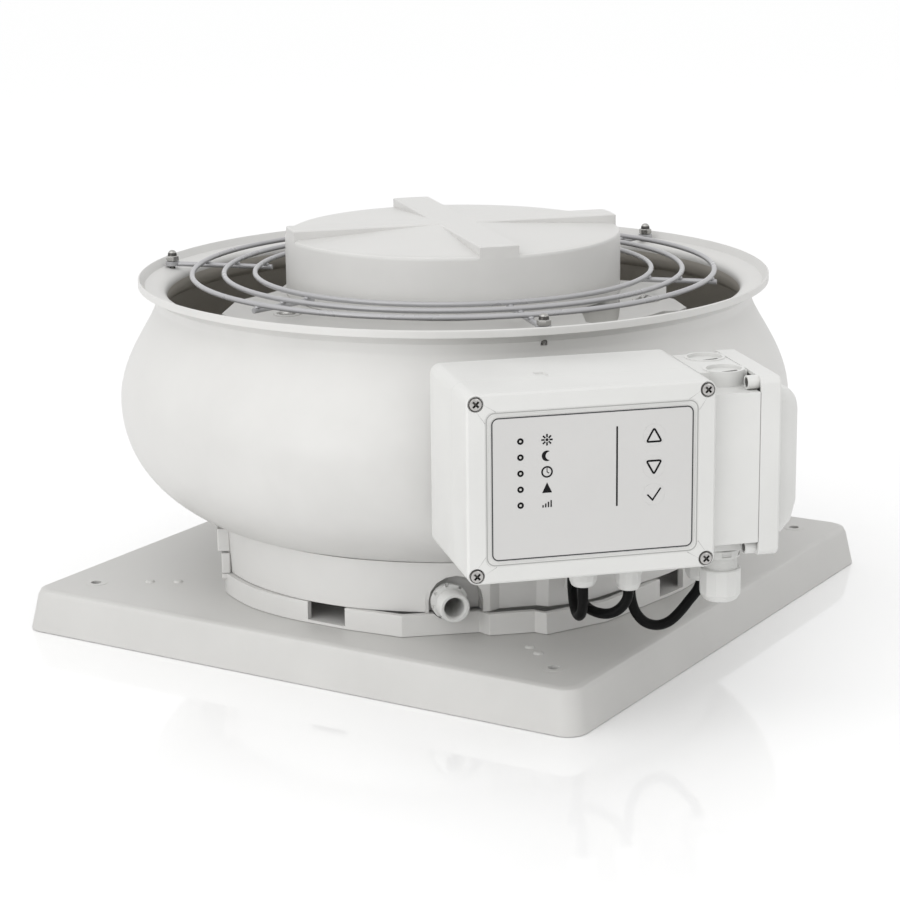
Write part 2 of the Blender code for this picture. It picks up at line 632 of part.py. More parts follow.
def make_cap():
    low = BRIDGE_TOP + GAP
    outline = [
        (CAP_R, low), (CAP_R, CAP_EDGE_Z - 0.0035), (CAP_R - 0.0011, CAP_EDGE_Z - 0.0009),
        (CAP_R - 0.0038, CAP_EDGE_Z + 0.0003), (CAP_MID_R, CAP_MID_Z), (0.0, CAP_MID_Z),
        (0.0, CAP_MID_Z - CAP_WALL), (CAP_MID_R, CAP_MID_Z - CAP_WALL),
        (CAP_R - 0.0055, CAP_EDGE_Z - 0.0028), (CAP_R - CAP_WALL, CAP_EDGE_Z - 0.0055),
        (CAP_R - CAP_WALL, low),
    ]
    cap = turned("motor_cap", outline, CASING_PLASTIC, fan_axis)
    reach = CAP_R - 0.0006
    half = CAP_RIB_HALF
    arm = math.sqrt(reach ** 2 - half ** 2)
    cross = []
    for quarter in range(4):
        turn = Matrix.Rotation(math.radians(90.0 * quarter), 2)
        for x, y in ((half, -half), (arm, -half), (reach, 0.0), (arm, half)):
            cross.append(tuple(turn @ Vector((x, y))))
    levels = [(cross, CAP_EDGE_Z - 0.0046), (cross, CAP_RIB_Z - 0.0008), (shrunk(cross, 0.0008), CAP_RIB_Z)]
    ribs = stacked_bmesh(levels)
    guide = make_cutter("cap_ribs_guide", ribs, fan_axis, turn=(0.0, 0.0, CAP_RIB_ANGLE))
    combine(cap, guide, "UNION")


# ---------------------------------------------------------------- wire guard


def wire_outline(major, height, sides=6):
    angles = [2.0 * math.pi * i / sides for i in range(sides)]
    return [(major + WIRE_R * math.cos(a), height + WIRE_R * math.sin(a)) for a in angles]


def make_guard():
    for name, radius in RING_RADII.items():
        turned(name, wire_outline(radius, RING_Z), GUARD_WIRE, fan_axis, ROUND)
    for i in range(6):
        angle = ROD_FIRST_ANGLE + 60.0 * i
        long_rod = i % 2 == 0
        reach = STUD_CIRCLE_R - 0.0040 if long_rod else ROD_OUTER_R
        profile = disc(WIRE_R, (0.0, ROD_Z), 8)
        bm = bmesh.new()
        ends = [[bm.verts.new((x, y, z)) for y, z in profile] for x in (ROD_INNER_R, reach)]
        for a in range(8):
            b = (a + 1) % 8
            bm.faces.new((ends[0][a], ends[0][b], ends[1][b], ends[1][a]))
        bm.faces.new(ends[0])
        bm.faces.new(ends[1])
        rod = finish_mesh(f"guard_rod_{i + 1}", bm, GUARD_WIRE, fan_axis, turn=(0.0, 0.0, angle))
        if long_rod:
            eye_low = ROD_Z - 0.0014
            eye = rods_bmesh([(STUD_CIRCLE_R, 0.0, 0.0062)], eye_low, EYE_TOP, 16)
            frame_turn = (0.0, 0.0, angle)
            combine(rod, make_cutter(f"rod_eye_guide_{i}", eye, fan_axis, turn=frame_turn), "UNION")
            hole = rods_bmesh([(STUD_CIRCLE_R, 0.0, STUD_R + 0.0004)], eye_low - 0.01, ROD_Z + 0.01, 12)
            combine(rod, make_cutter(f"rod_hole_cutter_{i}", hole, fan_axis, turn=frame_turn), "DIFFERENCE")
    make_guard_nuts()


def make_guard_nuts():
    """An acorn nut on a threaded stud that goes down through the casing's rim."""
    low = EYE_TOP + GAP
    outline = [
        (0.0, STUD_LOW_Z), (STUD_R, STUD_LOW_Z), (STUD_R, low), (0.0052, low), (0.0052, low + 0.0042),
        (0.0040, low + 0.0050), (0.0038, low + 0.0072), (0.0024, low + 0.0090), (0.0, low + 0.0096),
    ]
    for i in range(3):
        place = (*around(STUD_CIRCLE_R, ROD_FIRST_ANGLE + 120.0 * i), 0.0)
        turned(f"guard_nut_{i + 1}", outline, STAINLESS, fan_axis, 12, place)


# ---------------------------------------------------------------- control box


def box_outline(shrink, radius=BOX_CORNER_R):
    return rounded_rect(BOX_HALF_T - shrink, BOX_HALF_Z - shrink, radius, (BOX_MID_T, BOX_MID_Z), 4)


def make_saddle():
    """The moulded saddle that seats the flat back of the control box on the round casing."""
    outline = rounded_rect(0.060, 0.038, 0.006, (BOX_MID_T, 0.190))
    levels = [(outline, 0.262), (outline, BOX_BACK_D - GAP)]
    saddle = stacked("box_saddle", levels, CASING_PLASTIC, face_frame)
    side = [(radius + GAP, height) for radius, height in casing_side()]
    clear = [(0.0, side[0][1])] + side + [(0.0, side[-1][1])]
    combine(saddle, make_cutter("saddle_cutter", spun_bmesh(clear, CASING_ROUND), fan_axis), "DIFFERENCE")


GLANDS = {
    # name: (d, t, nut radius, foot height, wall's lower face)
    "gland_motor": (0.345, 0.0154, 0.0107, 0.1090, BOX_MID_Z - BOX_HALF_Z),
    "gland_sensor": (0.345, 0.0510, 0.0098, 0.1035, BOX_MID_Z - BOX_HALF_Z),
    "gland_link": (0.318, 0.0610, 0.0100, 0.1045, BOX_MID_Z - BOX_HALF_Z),
    "gland_isolator": (0.315, 0.1190, 0.0125, 0.0975, ISO_LOW_Z),
    "gland_supply": (0.359, 0.1190, 0.0157, 0.0943, ISO_LOW_Z),
}


def gland_holes(wall_z):
    return [(d, t, 0.62 * nut + 2.0 * GAP) for d, t, nut, _, wall in GLANDS.values() if wall == wall_z]


def make_glands():
    """Each gland: an inner nut, a neck through the wall, a lock ring, a threaded neck and the cap nut."""
    for name, (d, t, nut, foot, wall) in GLANDS.items():
        neck = 0.62 * nut
        ring_high, ring_low, nut_high = wall - 0.10 * nut, wall - 0.52 * nut, wall - 1.08 * nut
        inner_low, inner_high = wall + 0.0036, wall + 0.0080
        outline = [
            (0.0, foot), (0.72 * nut, foot), (0.90 * nut, foot + 0.0015), (nut, foot + 0.0045),
            (nut, nut_high), (0.82 * nut, nut_high), (0.82 * nut, ring_low), (0.92 * nut, ring_low),
            (0.92 * nut, ring_high), (neck, ring_high), (neck, inner_low), (0.80 * nut, inner_low),
            (0.80 * nut, inner_high), (0.0, inner_high),
        ]
        turned(name, outline, GLAND_PLASTIC, panel_frame, SMALL_ROUND, (d, t, 0.0))


def make_control_box():
    base_levels = [
        (box_outline(BOX_WALL, 0.006), BOX_BACK_D + BOX_WALL),
        (box_outline(BOX_WALL, 0.006), BOX_SEAM_D - GAP),
        (box_outline(0.0), BOX_SEAM_D - GAP),
        (box_outline(0.0), BOX_BACK_D + 0.0015),
        (box_outline(0.0015), BOX_BACK_D),
    ]
    base = stacked("control_box_base", base_levels, BOX_PLASTIC, face_frame)
    floor_z = BOX_MID_Z - BOX_HALF_Z
    holes = rods_bmesh(gland_holes(floor_z), floor_z - 0.01, floor_z + 0.01)
    combine(base, make_cutter("box_gland_cutter", holes, panel_frame), "DIFFERENCE")
    mid = (BOX_MID_T, BOX_MID_Z)
    recess = rounded_rect(PANEL_HALF_T + RECESS_MARGIN, PANEL_HALF_Z + RECESS_MARGIN, 0.0065, mid, 4)
    step = rounded_rect(PANEL_HALF_T + RECESS_STEP, PANEL_HALF_Z + RECESS_STEP, 0.0055, mid, 4)
    lid_levels = [
        (box_outline(BOX_WALL, 0.006), BOX_FRONT_D - 0.0042),
        (box_outline(BOX_WALL, 0.006), BOX_SEAM_D),
        (box_outline(0.0), BOX_SEAM_D),
        (box_outline(0.0), BOX_FRONT_D - FRAME_FALL - 0.0016),
        (box_outline(0.0016), BOX_FRONT_D - FRAME_FALL),
        (recess, BOX_FRONT_D),
        (recess, BOX_FRONT_D - 0.5 * RECESS_DEPTH),
        (step, BOX_FRONT_D - 0.5 * RECESS_DEPTH),
        (step, BOX_FRONT_D - RECESS_DEPTH),
    ]
    lid = stacked("control_box_lid", lid_levels, BOX_PLASTIC, face_frame)
    wells = [(KEY_T, height, KEY_R + 0.0006) for height in KEY_HEIGHTS.values()]
    wells += [(t, z, LID_SCREW_R + GAP) for t, z in screw_places()]
    wells = rods_bmesh(wells, 0.39, 0.42)
    combine(lid, make_cutter("lid_well_cutter", wells, face_frame), "DIFFERENCE")
    seats = rods_bmesh([(t, z, 0.0058) for t, z in screw_places()], SCREW_SEAT_D, 0.42)
    combine(lid, make_cutter("lid_seat_cutter", seats, face_frame), "DIFFERENCE")


def screw_places():
    reach_t = BOX_HALF_T - BOX_SCREW_INSET
    reach_z = BOX_HALF_Z - BOX_SCREW_INSET
    corners = ((-1, -1), (1, -1), (1, 1), (-1, 1))
    return [(BOX_MID_T + a * reach_t, BOX_MID_Z + b * reach_z) for a, b in corners]


def make_lid_screws():
    seat = SCREW_SEAT_D + GAP
    outline = [
        (0.0, 0.368), (LID_SCREW_R, 0.368), (LID_SCREW_R, seat), (0.0052, seat), (0.0050, seat + 0.0010),
        (0.0036, seat + 0.0020), (0.0, seat + 0.0024),
    ]
    for number, (t, z) in enumerate(screw_places(), 1):
        turned(f"lid_screw_{number}", outline, STAINLESS, face_frame, 12, (t, z, 0.0))


def make_panel():
    back = BOX_FRONT_D - RECESS_DEPTH + GAP
    outline = rounded_rect(PANEL_HALF_T, PANEL_HALF_Z, 0.005, (BOX_MID_T, BOX_MID_Z))
    front = BOX_FRONT_D + 0.0002
    panel = stacked("membrane_panel", [(outline, back), (outline, front)], PANEL_FILM, face_frame)
    holes = rods_bmesh([(KEY_T, height, KEY_R + GAP) for height in KEY_HEIGHTS.values()], 0.39, 0.42, 16)
    combine(panel, make_cutter("key_hole_cutter", holes, face_frame), "DIFFERENCE")
    key = [
        (0.0, 0.3996), (0.0030, 0.3996), (0.0030, 0.4050), (KEY_R, 0.4056), (KEY_R, front), (0.0, front),
    ]
    for name, height in KEY_HEIGHTS.items():
        frame = make_frame(f"{name}_frame", face_frame, (KEY_T, height, 0.0))
        turned(name, key, PANEL_FILM, frame, 16)
    board = rounded_rect(0.066, 0.046, 0.003, (BOX_MID_T, BOX_MID_Z))
    stacked("circuit_board", [(board, 0.3960), (board, 0.3976)], BOARD, face_frame)


# ---------------------------------------------------------------- isolator


def isolator_outline():
    """The isolator's body seen along t, as (-d, z): shoulders at the corners, a neck for the entries."""
    far, near = -ISO_BACK_D, -ISO_FRONT_D
    neck_far, neck_near, top_near = -ISO_NECK_D[0], -ISO_NECK_D[1], -ISO_TOP_NEAR_D
    low, high = ISO_LOW_Z + ISO_SHOULDER, ISO_HIGH_Z - ISO_SHOULDER
    return [
        (far, low), (far, high), (neck_far, high), (neck_far, ISO_HIGH_Z), (top_near, ISO_HIGH_Z),
        (top_near, high), (near, high), (near, low), (neck_near, low), (neck_near, ISO_LOW_Z),
        (neck_far, ISO_LOW_Z), (neck_far, low),
    ]


def lid_loop(shrink_d, low, high, radius):
    mid_z = 0.5 * (low + high)
    half_d = 0.5 * (ISO_FRONT_D - ISO_BACK_D) - shrink_d
    return rounded_rect(half_d, 0.5 * (high - low), radius, (-ISO_MID_D, mid_z), 4)


def lug_heights():
    """The screw lugs sit in the two corners above and below the isolator's shoulders."""
    return ISO_HIGH_Z - ISO_SHOULDER + ISO_LUG_R + GAP, ISO_LOW_Z + ISO_SHOULDER - ISO_LUG_R - GAP


def make_isolator():
    outer = isolator_outline()
    inner = shrunk(outer, ISO_WALL)
    base_levels = [
        (inner, ISO_START_T + ISO_WALL), (inner, ISO_SEAM_T), (outer, ISO_SEAM_T), (outer, ISO_START_T),
    ]
    base = stacked("isolator_base", base_levels, BOX_PLASTIC, isolator_frame)
    holes = rods_bmesh(gland_holes(ISO_LOW_Z), ISO_LOW_Z - 0.01, ISO_LOW_Z + 0.01)
    combine(base, make_cutter("isolator_gland_cutter", holes, panel_frame), "DIFFERENCE")
    bosses = rods_bmesh([(d, ISO_BOSS_T, ISO_BOSS_R) for d in ISO_BOSSES], ISO_HIGH_Z - ISO_SHOULDER,
                        ISO_HIGH_Z + 0.0008, 24)
    combine(base, make_cutter("entry_boss_guide", bosses, panel_frame), "UNION")
    blanks = rods_bmesh([(d, ISO_BOSS_T, ISO_BOSS_R - 0.0022) for d in ISO_BOSSES], ISO_HIGH_Z - 0.0018,
                        ISO_HIGH_Z + 0.01, 24)
    combine(base, make_cutter("entry_blank_cutter", blanks, panel_frame), "DIFFERENCE")
    low, high = ISO_LOW_Z - 0.0004, ISO_HIGH_Z + 0.0003
    seam = ISO_SEAM_T + GAP
    levels = [
        (lid_loop(0.003, low + 0.003, high - 0.003, 0.004), ISO_LID_T - 0.003),
        (lid_loop(0.003, low + 0.003, high - 0.003, 0.004), seam),
        (lid_loop(0.0, low, high, 0.006), seam),
        (lid_loop(0.0, low, high, 0.006), ISO_LID_T - 0.0015),
        (lid_loop(0.0015, low + 0.0015, high - 0.0015, 0.005), ISO_LID_T),
        (lid_loop(0.0115, 0.1455, 0.2590, 0.009), ISO_LID_T),
        (lid_loop(0.0125, 0.1480, 0.2580, 0.010), 0.1600),
        (lid_loop(0.0150, 0.1540, 0.2560, 0.011), 0.1670),
        (lid_loop(0.0190, 0.1630, 0.2520, 0.012), 0.1715),
        (lid_loop(0.0240, 0.1750, 0.2460, 0.012), ISO_CREST_T),
    ]
    lid = stacked("isolator_lid", levels, BOX_PLASTIC, isolator_frame)
    lugs = rods_bmesh([(-ISO_LUG_D, z, ISO_LUG_R) for z in lug_heights()], ISO_LUG_T, seam + 0.001)
    combine(lid, make_cutter("lid_lug_guide", lugs, isolator_frame), "UNION")
    heads = rods_bmesh([(-ISO_LUG_D, z, 0.0038) for z in lug_heights()], 0.12, ISO_LUG_T + 0.0055)
    combine(lid, make_cutter("lug_head_cutter", heads, isolator_frame), "DIFFERENCE")
    well = rods_bmesh([(-ISO_MID_D, KNOB_Z, KNOB_R + 0.0012)], 0.1575, 0.19, 24)
    combine(lid, make_cutter("knob_well_cutter", well, isolator_frame), "DIFFERENCE")
    spindle = rods_bmesh([(-ISO_MID_D, KNOB_Z, 0.0044)], 0.14, 0.17)
    combine(lid, make_cutter("spindle_hole_cutter", spindle, isolator_frame), "DIFFERENCE")
    make_isolator_switch()


def make_isolator_switch():
    knob = [
        (0.0, 0.1482), (0.0040, 0.1482), (0.0040, 0.1585), (KNOB_R, 0.1585), (KNOB_R, 0.1645),
        (KNOB_R - 0.0010, 0.1655), (0.0, 0.1655),
    ]
    item = turned("isolator_knob", knob, KNOB_PLASTIC, knob_frame, 24)
    grip = stacked_bmesh([(rounded_rect(0.0045, 0.0195, 0.003), 0.1640),
                          (rounded_rect(0.0038, 0.0185, 0.003), 0.1735)])
    combine(item, make_cutter("knob_grip_guide", grip, knob_frame), "UNION")
    block = rounded_rect(0.021, 0.023, 0.002, (-ISO_MID_D, KNOB_Z))
    levels = [(block, ISO_START_T + ISO_WALL + GAP), (block, 0.1476)]
    stacked("isolator_switch", levels, KNOB_PLASTIC, isolator_frame)
    high = ISO_LUG_T + 0.0055 - GAP
    screw = [
        (0.0, ISO_LUG_T - 0.0002), (0.0031, ISO_LUG_T + 0.0002), (0.0035, ISO_LUG_T + 0.0012),
        (0.0035, high), (0.0, high),
    ]
    for number, z in enumerate(lug_heights(), 1):
        place = (-ISO_LUG_D, z, 0.0)
        turned(f"isolator_screw_{number}", screw, STAINLESS, isolator_frame, SMALL_ROUND, place)


# ---------------------------------------------------------------- cables

# Each lead's route as (d, t, z) points, from one end to the other
LEADS = {
    "motor_lead": [
        (0.345, 0.0154, 0.1087), (0.345, 0.0154, 0.1010),
        (0.3447, 0.0155, 0.0940), (0.3405, 0.0157, 0.0860),
        (0.3335, 0.0158, 0.0812), (0.3255, 0.0160, 0.0812),
        (0.3180, 0.0164, 0.0850), (0.3120, 0.0172, 0.0915),
        (0.3045, 0.0188, 0.0975), (0.2955, 0.0215, 0.1005),
        (0.2850, 0.0255, 0.1010), (0.2740, 0.0305, 0.0985),
        (0.2625, 0.0360, 0.0945), (0.2520, 0.0400, 0.0900), (0.2420, 0.0420, 0.0870),
        (ENTRY_FACE_D + GAP, ENTRY_T, ENTRY_HIGH_Z),
    ],
    "sensor_lead": [
        (0.345, 0.0510, 0.1032), (0.345, 0.0507, 0.0975),
        (0.3440, 0.0485, 0.0915), (0.3410, 0.0440, 0.0855),
        (0.3360, 0.0385, 0.0818), (0.3290, 0.0330, 0.0805),
        (0.3200, 0.0285, 0.0810), (0.3100, 0.0262, 0.0828),
        (0.2990, 0.0262, 0.0842), (0.2870, 0.0285, 0.0845),
        (0.2740, 0.0325, 0.0832), (0.2620, 0.0370, 0.0805),
        (0.2520, 0.0402, 0.0780), (0.2420, 0.0420, 0.0760), (ENTRY_FACE_D + GAP, ENTRY_T, ENTRY_LOW_Z),
    ],
    "link_lead": [
        (0.318, 0.0610, 0.1042), (0.318, 0.0611, 0.0950),
        (0.3178, 0.0622, 0.0850), (0.3175, 0.0660, 0.0745),
        (0.3170, 0.0735, 0.0660), (0.3166, 0.0835, 0.0625),
        (0.3162, 0.0930, 0.0645), (0.3158, 0.1015, 0.0710),
        (0.3155, 0.1095, 0.0800), (0.3152, 0.1160, 0.0875),
        (0.3150, 0.1187, 0.0935), (0.315, 0.1190, 0.0972),
    ],
}


def smooth_route(route, spacing):
    """Points along a Catmull-Rom curve through the route's own points."""
    padded = [route[0]] + route + [route[-1]]
    points = [Vector(route[0])]
    for p0, p1, p2, p3 in (map(Vector, padded[i:i + 4]) for i in range(len(route) - 1)):
        pieces = max(1, round((p2 - p1).length / spacing))
        for piece in range(1, pieces + 1):
            u = piece / pieces
            points.append(0.5 * (2.0 * p1 + (p2 - p0) * u + (2.0 * p0 - 5.0 * p1 + 4.0 * p2 - p3) * u ** 2
                                 + (3.0 * p1 - p0 - 3.0 * p2 + p3) * u ** 3))
    return points


def make_leads():
    for name, route in LEADS.items():
        points = smooth_route(route, 2.0 * CABLE_R)
        curve = bpy.data.curves.new(name, "CURVE")
        curve.dimensions = "3D"
        curve.bevel_depth = CABLE_R
        curve.bevel_resolution = 2
        curve.use_fill_caps = True
        spline = curve.splines.new("POLY")
        spline.points.add(len(points) - 1)
        for spline_point, point in zip(spline.points, points):
            spline_point.co = (*point, 1.0)
        curve.materials.append(CABLE_RUBBER)
        lead = bpy.data.objects.new(name, curve)
        bpy.context.collection.objects.link(lead)
        lead.parent = panel_frame


# ---------------------------------------------------------------- assembly


clear_scene()

CASING_PLASTIC = make_finish("casing_plastic", (0.72, 0.72, 0.70), 0.42)
TRAY_PLASTIC = make_finish("tray_plastic", (0.66, 0.66, 0.64), 0.48)
BRIDGE_PLASTIC = make_finish("bridge_plastic", (0.55, 0.55, 0.53), 0.55)
BOX_PLASTIC = make_finish("box_plastic", (0.78, 0.78, 0.76), 0.38)
GLAND_PLASTIC = make_finish("gland_plastic", (0.70, 0.70, 0.68), 0.45)
PANEL_FILM = make_finish("panel_film", (0.62, 0.62, 0.60), 0.35)
KNOB_PLASTIC = make_finish("knob_plastic", (0.16, 0.16, 0.16), 0.40)
IMPELLER_PLASTIC = make_finish("impeller_plastic", (0.08, 0.08, 0.075), 0.55)
GUARD_WIRE = make_finish("guard_wire", (0.52, 0.53, 0.54), 0.40, 0.6)
STAINLESS = make_finish("stainless", (0.62, 0.62, 0.62), 0.25, 1.0)
ZINC_SHEET = make_finish("zinc_sheet", (0.50, 0.51, 0.52), 0.45, 0.9)
MOTOR_METAL = make_finish("motor_metal", (0.30, 0.30, 0.31), 0.50, 0.8)
CABLE_RUBBER = make_finish("cable_rubber", (0.012, 0.012, 0.012), 0.50)
SEAL_FOAM = make_finish("seal_foam", (0.05, 0.05, 0.05), 0.90)
BOARD = make_finish("board", (0.03, 0.16, 0.07), 0.50)
CUTTER_FINISH = make_finish("cutter", (1.0, 0.2, 0.2), 0.5)

fan_axis = make_frame("fan_axis")
rotor_frame = make_frame("rotor_frame", fan_axis)
panel_frame = make_frame("panel_frame", fan_axis, turn=(0.0, 0.0, PANEL_ANGLE))
face_frame = make_frame("face_frame", panel_frame, turn=(90.0, 0.0, 90.0))          # x = t, y = z, z = d
isolator_frame = make_frame("isolator_frame", panel_frame, turn=(90.0, 0.0, 180.0))  # x = -d, y = z, z = t
knob_frame = make_frame("knob_frame", isolator_frame, (-ISO_MID_D, KNOB_Z, 0.0))

make_base_tray()
make_base_seal()
make_inlet_cone()
make_collar()
make_skirt()
make_spigot()
make_casing()
make_bridge()
make_posts()
make_motor()
make_impeller()
make_cap()
make_guard()
make_saddle()
make_glands()
make_control_box()
make_lid_screws()
make_panel()
make_isolator()
make_leads()
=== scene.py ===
"""The looks of the roof exhaust fan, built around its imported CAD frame.

Metres, +Z up, in the frame of the CAD. In the control panel's own frame d runs out through the
panel, t runs sideways along it and z is up. The camera and the leads come first.
"""
import json
import math

import bmesh
import bpy
from mathutils import Matrix, Vector


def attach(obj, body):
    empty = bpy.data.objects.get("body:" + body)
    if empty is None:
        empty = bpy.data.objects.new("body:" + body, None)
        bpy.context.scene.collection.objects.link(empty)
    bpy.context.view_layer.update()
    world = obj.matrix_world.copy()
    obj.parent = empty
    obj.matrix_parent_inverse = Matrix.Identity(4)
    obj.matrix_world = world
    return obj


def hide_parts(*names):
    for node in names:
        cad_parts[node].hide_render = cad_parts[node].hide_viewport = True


ORIGIN = (0.0, 0.0, 0.0)
GAP = 0.0003                      # clearance between pieces that touch
PAST = 0.01                       # how far a cutting shape runs past the piece that it cuts

# Base tray, a thermoformed square lid
TRAY_HALF = 0.27
TRAY_TOP_HALF = 0.2635
TRAY_HEIGHT = 0.036
TRAY_WALL = 0.004
TRAY_OPENING_R = 0.138
FIXING_HALF_PITCH = 0.225         # four fixing holes on a 450 mm square
FIXING_HOLE_R = 0.0045
FIXING_PAD_R = 0.01               # washer seat round each hole
FIXING_PAD_RISE = 0.0002
PIPS = ((0.1848, -0.1916), (0.1982, -0.2016), (-0.1856, -0.2007), (-0.1644, -0.1888))
PIP_R = 0.0042                    # moulded pips on the tray's top
PIP_RISE = 0.0016

# Collar, skirt and casing
COLLAR_TOP = 0.0542
COLLAR_WALL = 0.005
COLLAR_EYE_R = 0.188
SKIRT_TOP = 0.0965
SKIRT_WALL = 0.004
SKIRT_FLARE = 0.0025
CASING_R = 0.2886
CASING_WIDE_Z = 0.188
CASING_WALL = 0.004
CASING_FLOOR_R = 0.192
THROAT_R = 0.256
THROAT_Z = 0.272
RIM_R = 0.2703
OUTLET_R = 0.246

# Wire guard
WIRE_R = 0.0022
WIRE_SIDES = 16
LAID_ALONG_X = Matrix(((0, 0, 1, 0), (1, 0, 0, 0), (0, 1, 0, 0), (0, 0, 0, 1)))      # z becomes x
RING_RADII = {"guard_ring_inner": 0.1703, "guard_ring_middle": 0.1968, "guard_ring_outer": 0.224}
RING_Z = 0.2934
ROD_Z = RING_Z - 2.0 * WIRE_R - GAP
EYE_TOP = ROD_Z + WIRE_R + 0.0001
ROD_FIRST_ANGLE = -162.8
ROD_INNER_R = 0.164
ROD_OUTER_R = 0.2285
ROD_EYE_R = 0.0062
STUD_CIRCLE_R = 0.257
STUD_R = 0.0022
STUD_HOLE_R = STUD_R + 0.0004
STUD_LOW_Z = 0.2762

# Motor cap and bridge
CAP_R = 0.1438
CAP_WALL = 0.003
CAP_EDGE_Z = 0.3268
CAP_RIB_Z = 0.3348
CAP_RIB_HALF = 0.0165
CAP_RIB_ANGLE = -43.0
CAP_MID_Z = 0.3342                # the sloping top's height at its middle
CAP_MID_R = 0.026
BRIDGE_TOP = 0.275
BRIDGE_PLATE = 0.006
BRIDGE_RIM = 0.018                # depth of the turned-down edge
BRIDGE_WALL = 0.003
BRIDGE_RECESS_DEEP = 0.0042
BRIDGE_EYE_R = 0.055              # the hole over the motor's flange
POST_CIRCLE_R = 0.174
POST_FIRST_ANGLE = -110.2

# Impeller and motor
IMPELLER_R = 0.155
IMPELLER_PLATE_Z = 0.212
BLADE_COUNT = 7
BLADE_INNER_R = 0.104
ROTOR_R = 0.063
SHROUD_EYE_R = 0.0985
SHROUD_EDGE_Z = 0.126
SHROUD_CONE = (0.1035, 0.1075)    # radius and height where the shroud's cone starts

# Control box; panel_frame turns d onto the diagonal of the tray
PANEL_ANGLE = -45.0
BOX_BACK_D = 0.2913
BOX_SEAM_D = 0.362
BOX_FRONT_D = 0.4071
BOX_MID_T = 0.0046
BOX_MID_Z = 0.2048
BOX_MID = (BOX_MID_T, BOX_MID_Z)
BOX_HALF_T = 0.0931
BOX_HALF_Z = 0.0701
BOX_WALL = 0.003
BOX_CORNER_R = 0.008
BOX_SCREW_INSET = 0.0068
PANEL_HALF_T = 0.0753
PANEL_HALF_Z = 0.0527
RECESS_MARGIN = 0.0045
RECESS_STEP = 0.0022              # margin of the inner step that the panel lies in
RECESS_DEPTH = 0.001
FRAME_FALL = 0.0012               # how far the lid's frame slopes back to its edge
SCREW_SEAT_D = BOX_FRONT_D - 0.0022
LID_SCREW_R = 0.002
LID_SEAT_R = 0.0058
KEY_T = 0.0501
KEY_HEIGHTS = {"key_up": 0.2374, "key_down": 0.2136, "key_enter": 0.1934}
KEY_R = 0.0082

FILM_TOP = BOX_FRONT_D + 0.0002
LED_T = -0.0494
ICON_T = -0.0298
ROW_HEIGHTS = (0.2394, 0.2276, 0.2158, 0.204, 0.1923)
DIVIDER = (0.0223, 0.1873, 0.2451)      # t, low z, high z

# Isolator on the control box's side
ISO_BACK_D = 0.2893
ISO_FRONT_D = 0.395
ISO_NECK_D = (0.301, 0.3765)      # the stretch that carries the lower cable entries
ISO_TOP_NEAR_D = 0.366            # near end of the upper stretch
ISO_BOSSES = (0.3154, 0.3587)     # d of the two blanked entries on top
ISO_BOSS_T = 0.1195
ISO_BOSS_R = 0.0155
ISO_LUG_D = 0.385
ISO_LUG_R = 0.0052
ISO_HEAD_R = 0.0038
ISO_LUG_T = 0.1275
ISO_START_T = BOX_MID_T + BOX_HALF_T + GAP
ISO_SEAM_T = 0.1355
ISO_LID_T = 0.152
ISO_CREST_T = 0.1733
ISO_LOW_Z = 0.1363
ISO_HIGH_Z = 0.2715
ISO_SHOULDER = 0.0105
ISO_WALL = 0.003
ISO_MID_D = 0.342
ISO_MID_Z = 0.204
KNOB_R = 0.022
SPINDLE_HOLE_R = 0.0044
KNOB_Z = ISO_MID_Z + 0.004
KNOB_MID = (-ISO_MID_D, KNOB_Z)   # in isolator_frame

# Cables, glands and the niche of the open gland body
SPIGOT_T = -0.0587
SPIGOT_Z = 0.0645
SPIGOT_HOLE_R = 0.0106
SPIGOT_CLEAR_R = 0.0158           # the collar is cut away round the gland body
ARCH_T = -0.0531
ARCH_HALF = 0.0212
CABLE_R = 0.004
ENTRY_FACE_D = 0.2325
ENTRY_T = 0.0425
ENTRY_HIGH_Z = 0.0865             # where the motor lead goes in
ENTRY_LOW_Z = 0.0755              # where the sensor lead goes in

ROUND = 120                       # segments of a large turned piece
CASING_ROUND = 144                # segments of the casing
SMALL_ROUND = 40                  # segments of a small turned piece

# Finer detail that the frame's own pieces leave out
EDGE = 0.0006                     # usual rounding of a moulded edge
FILM_STEP = 0.00012               # how far print stands proud of the film
PRINT_LINE = 0.0006               # half the width of a printed line
WELD_R = 0.0028
OUTLET_SHADE_Z = 0.2762            # the throat's wall gets painted shade below this

# Camera and light
CAMERA_AZIMUTH = 31.7255          # degrees
CAMERA_ELEVATION = 14.1281
CAMERA_ROLL = -0.6802
CAMERA_DISTANCE = 2.1901
CAMERA_AIM_Z = 0.1312             # height of the point that it looks at
CAMERA_SHIFT = -0.0045            # how far that point lies to the right
CAMERA_LENS = 99.74               # mm, on a sensor 36 mm wide
WORLD_LIGHT = 0.95
LIGHTS = (
    # name, kind, place, what it points at, size (metres or degrees), power
    ("sky_panel", "SUN", (-0.3, -2.2, 2.5), (0.0, 0.0, 0.1), 70.0, 0.72),
    ("low_panel", "AREA", (-0.5, -2.8, 0.35), (0.0, 0.0, 0.12), 1.6, 14.0),
    ("right_panel", "AREA", (2.6, -0.9, 1.6), (0.1, 0.0, 0.2), 1.2, 3.0),
)


# ---- helpers

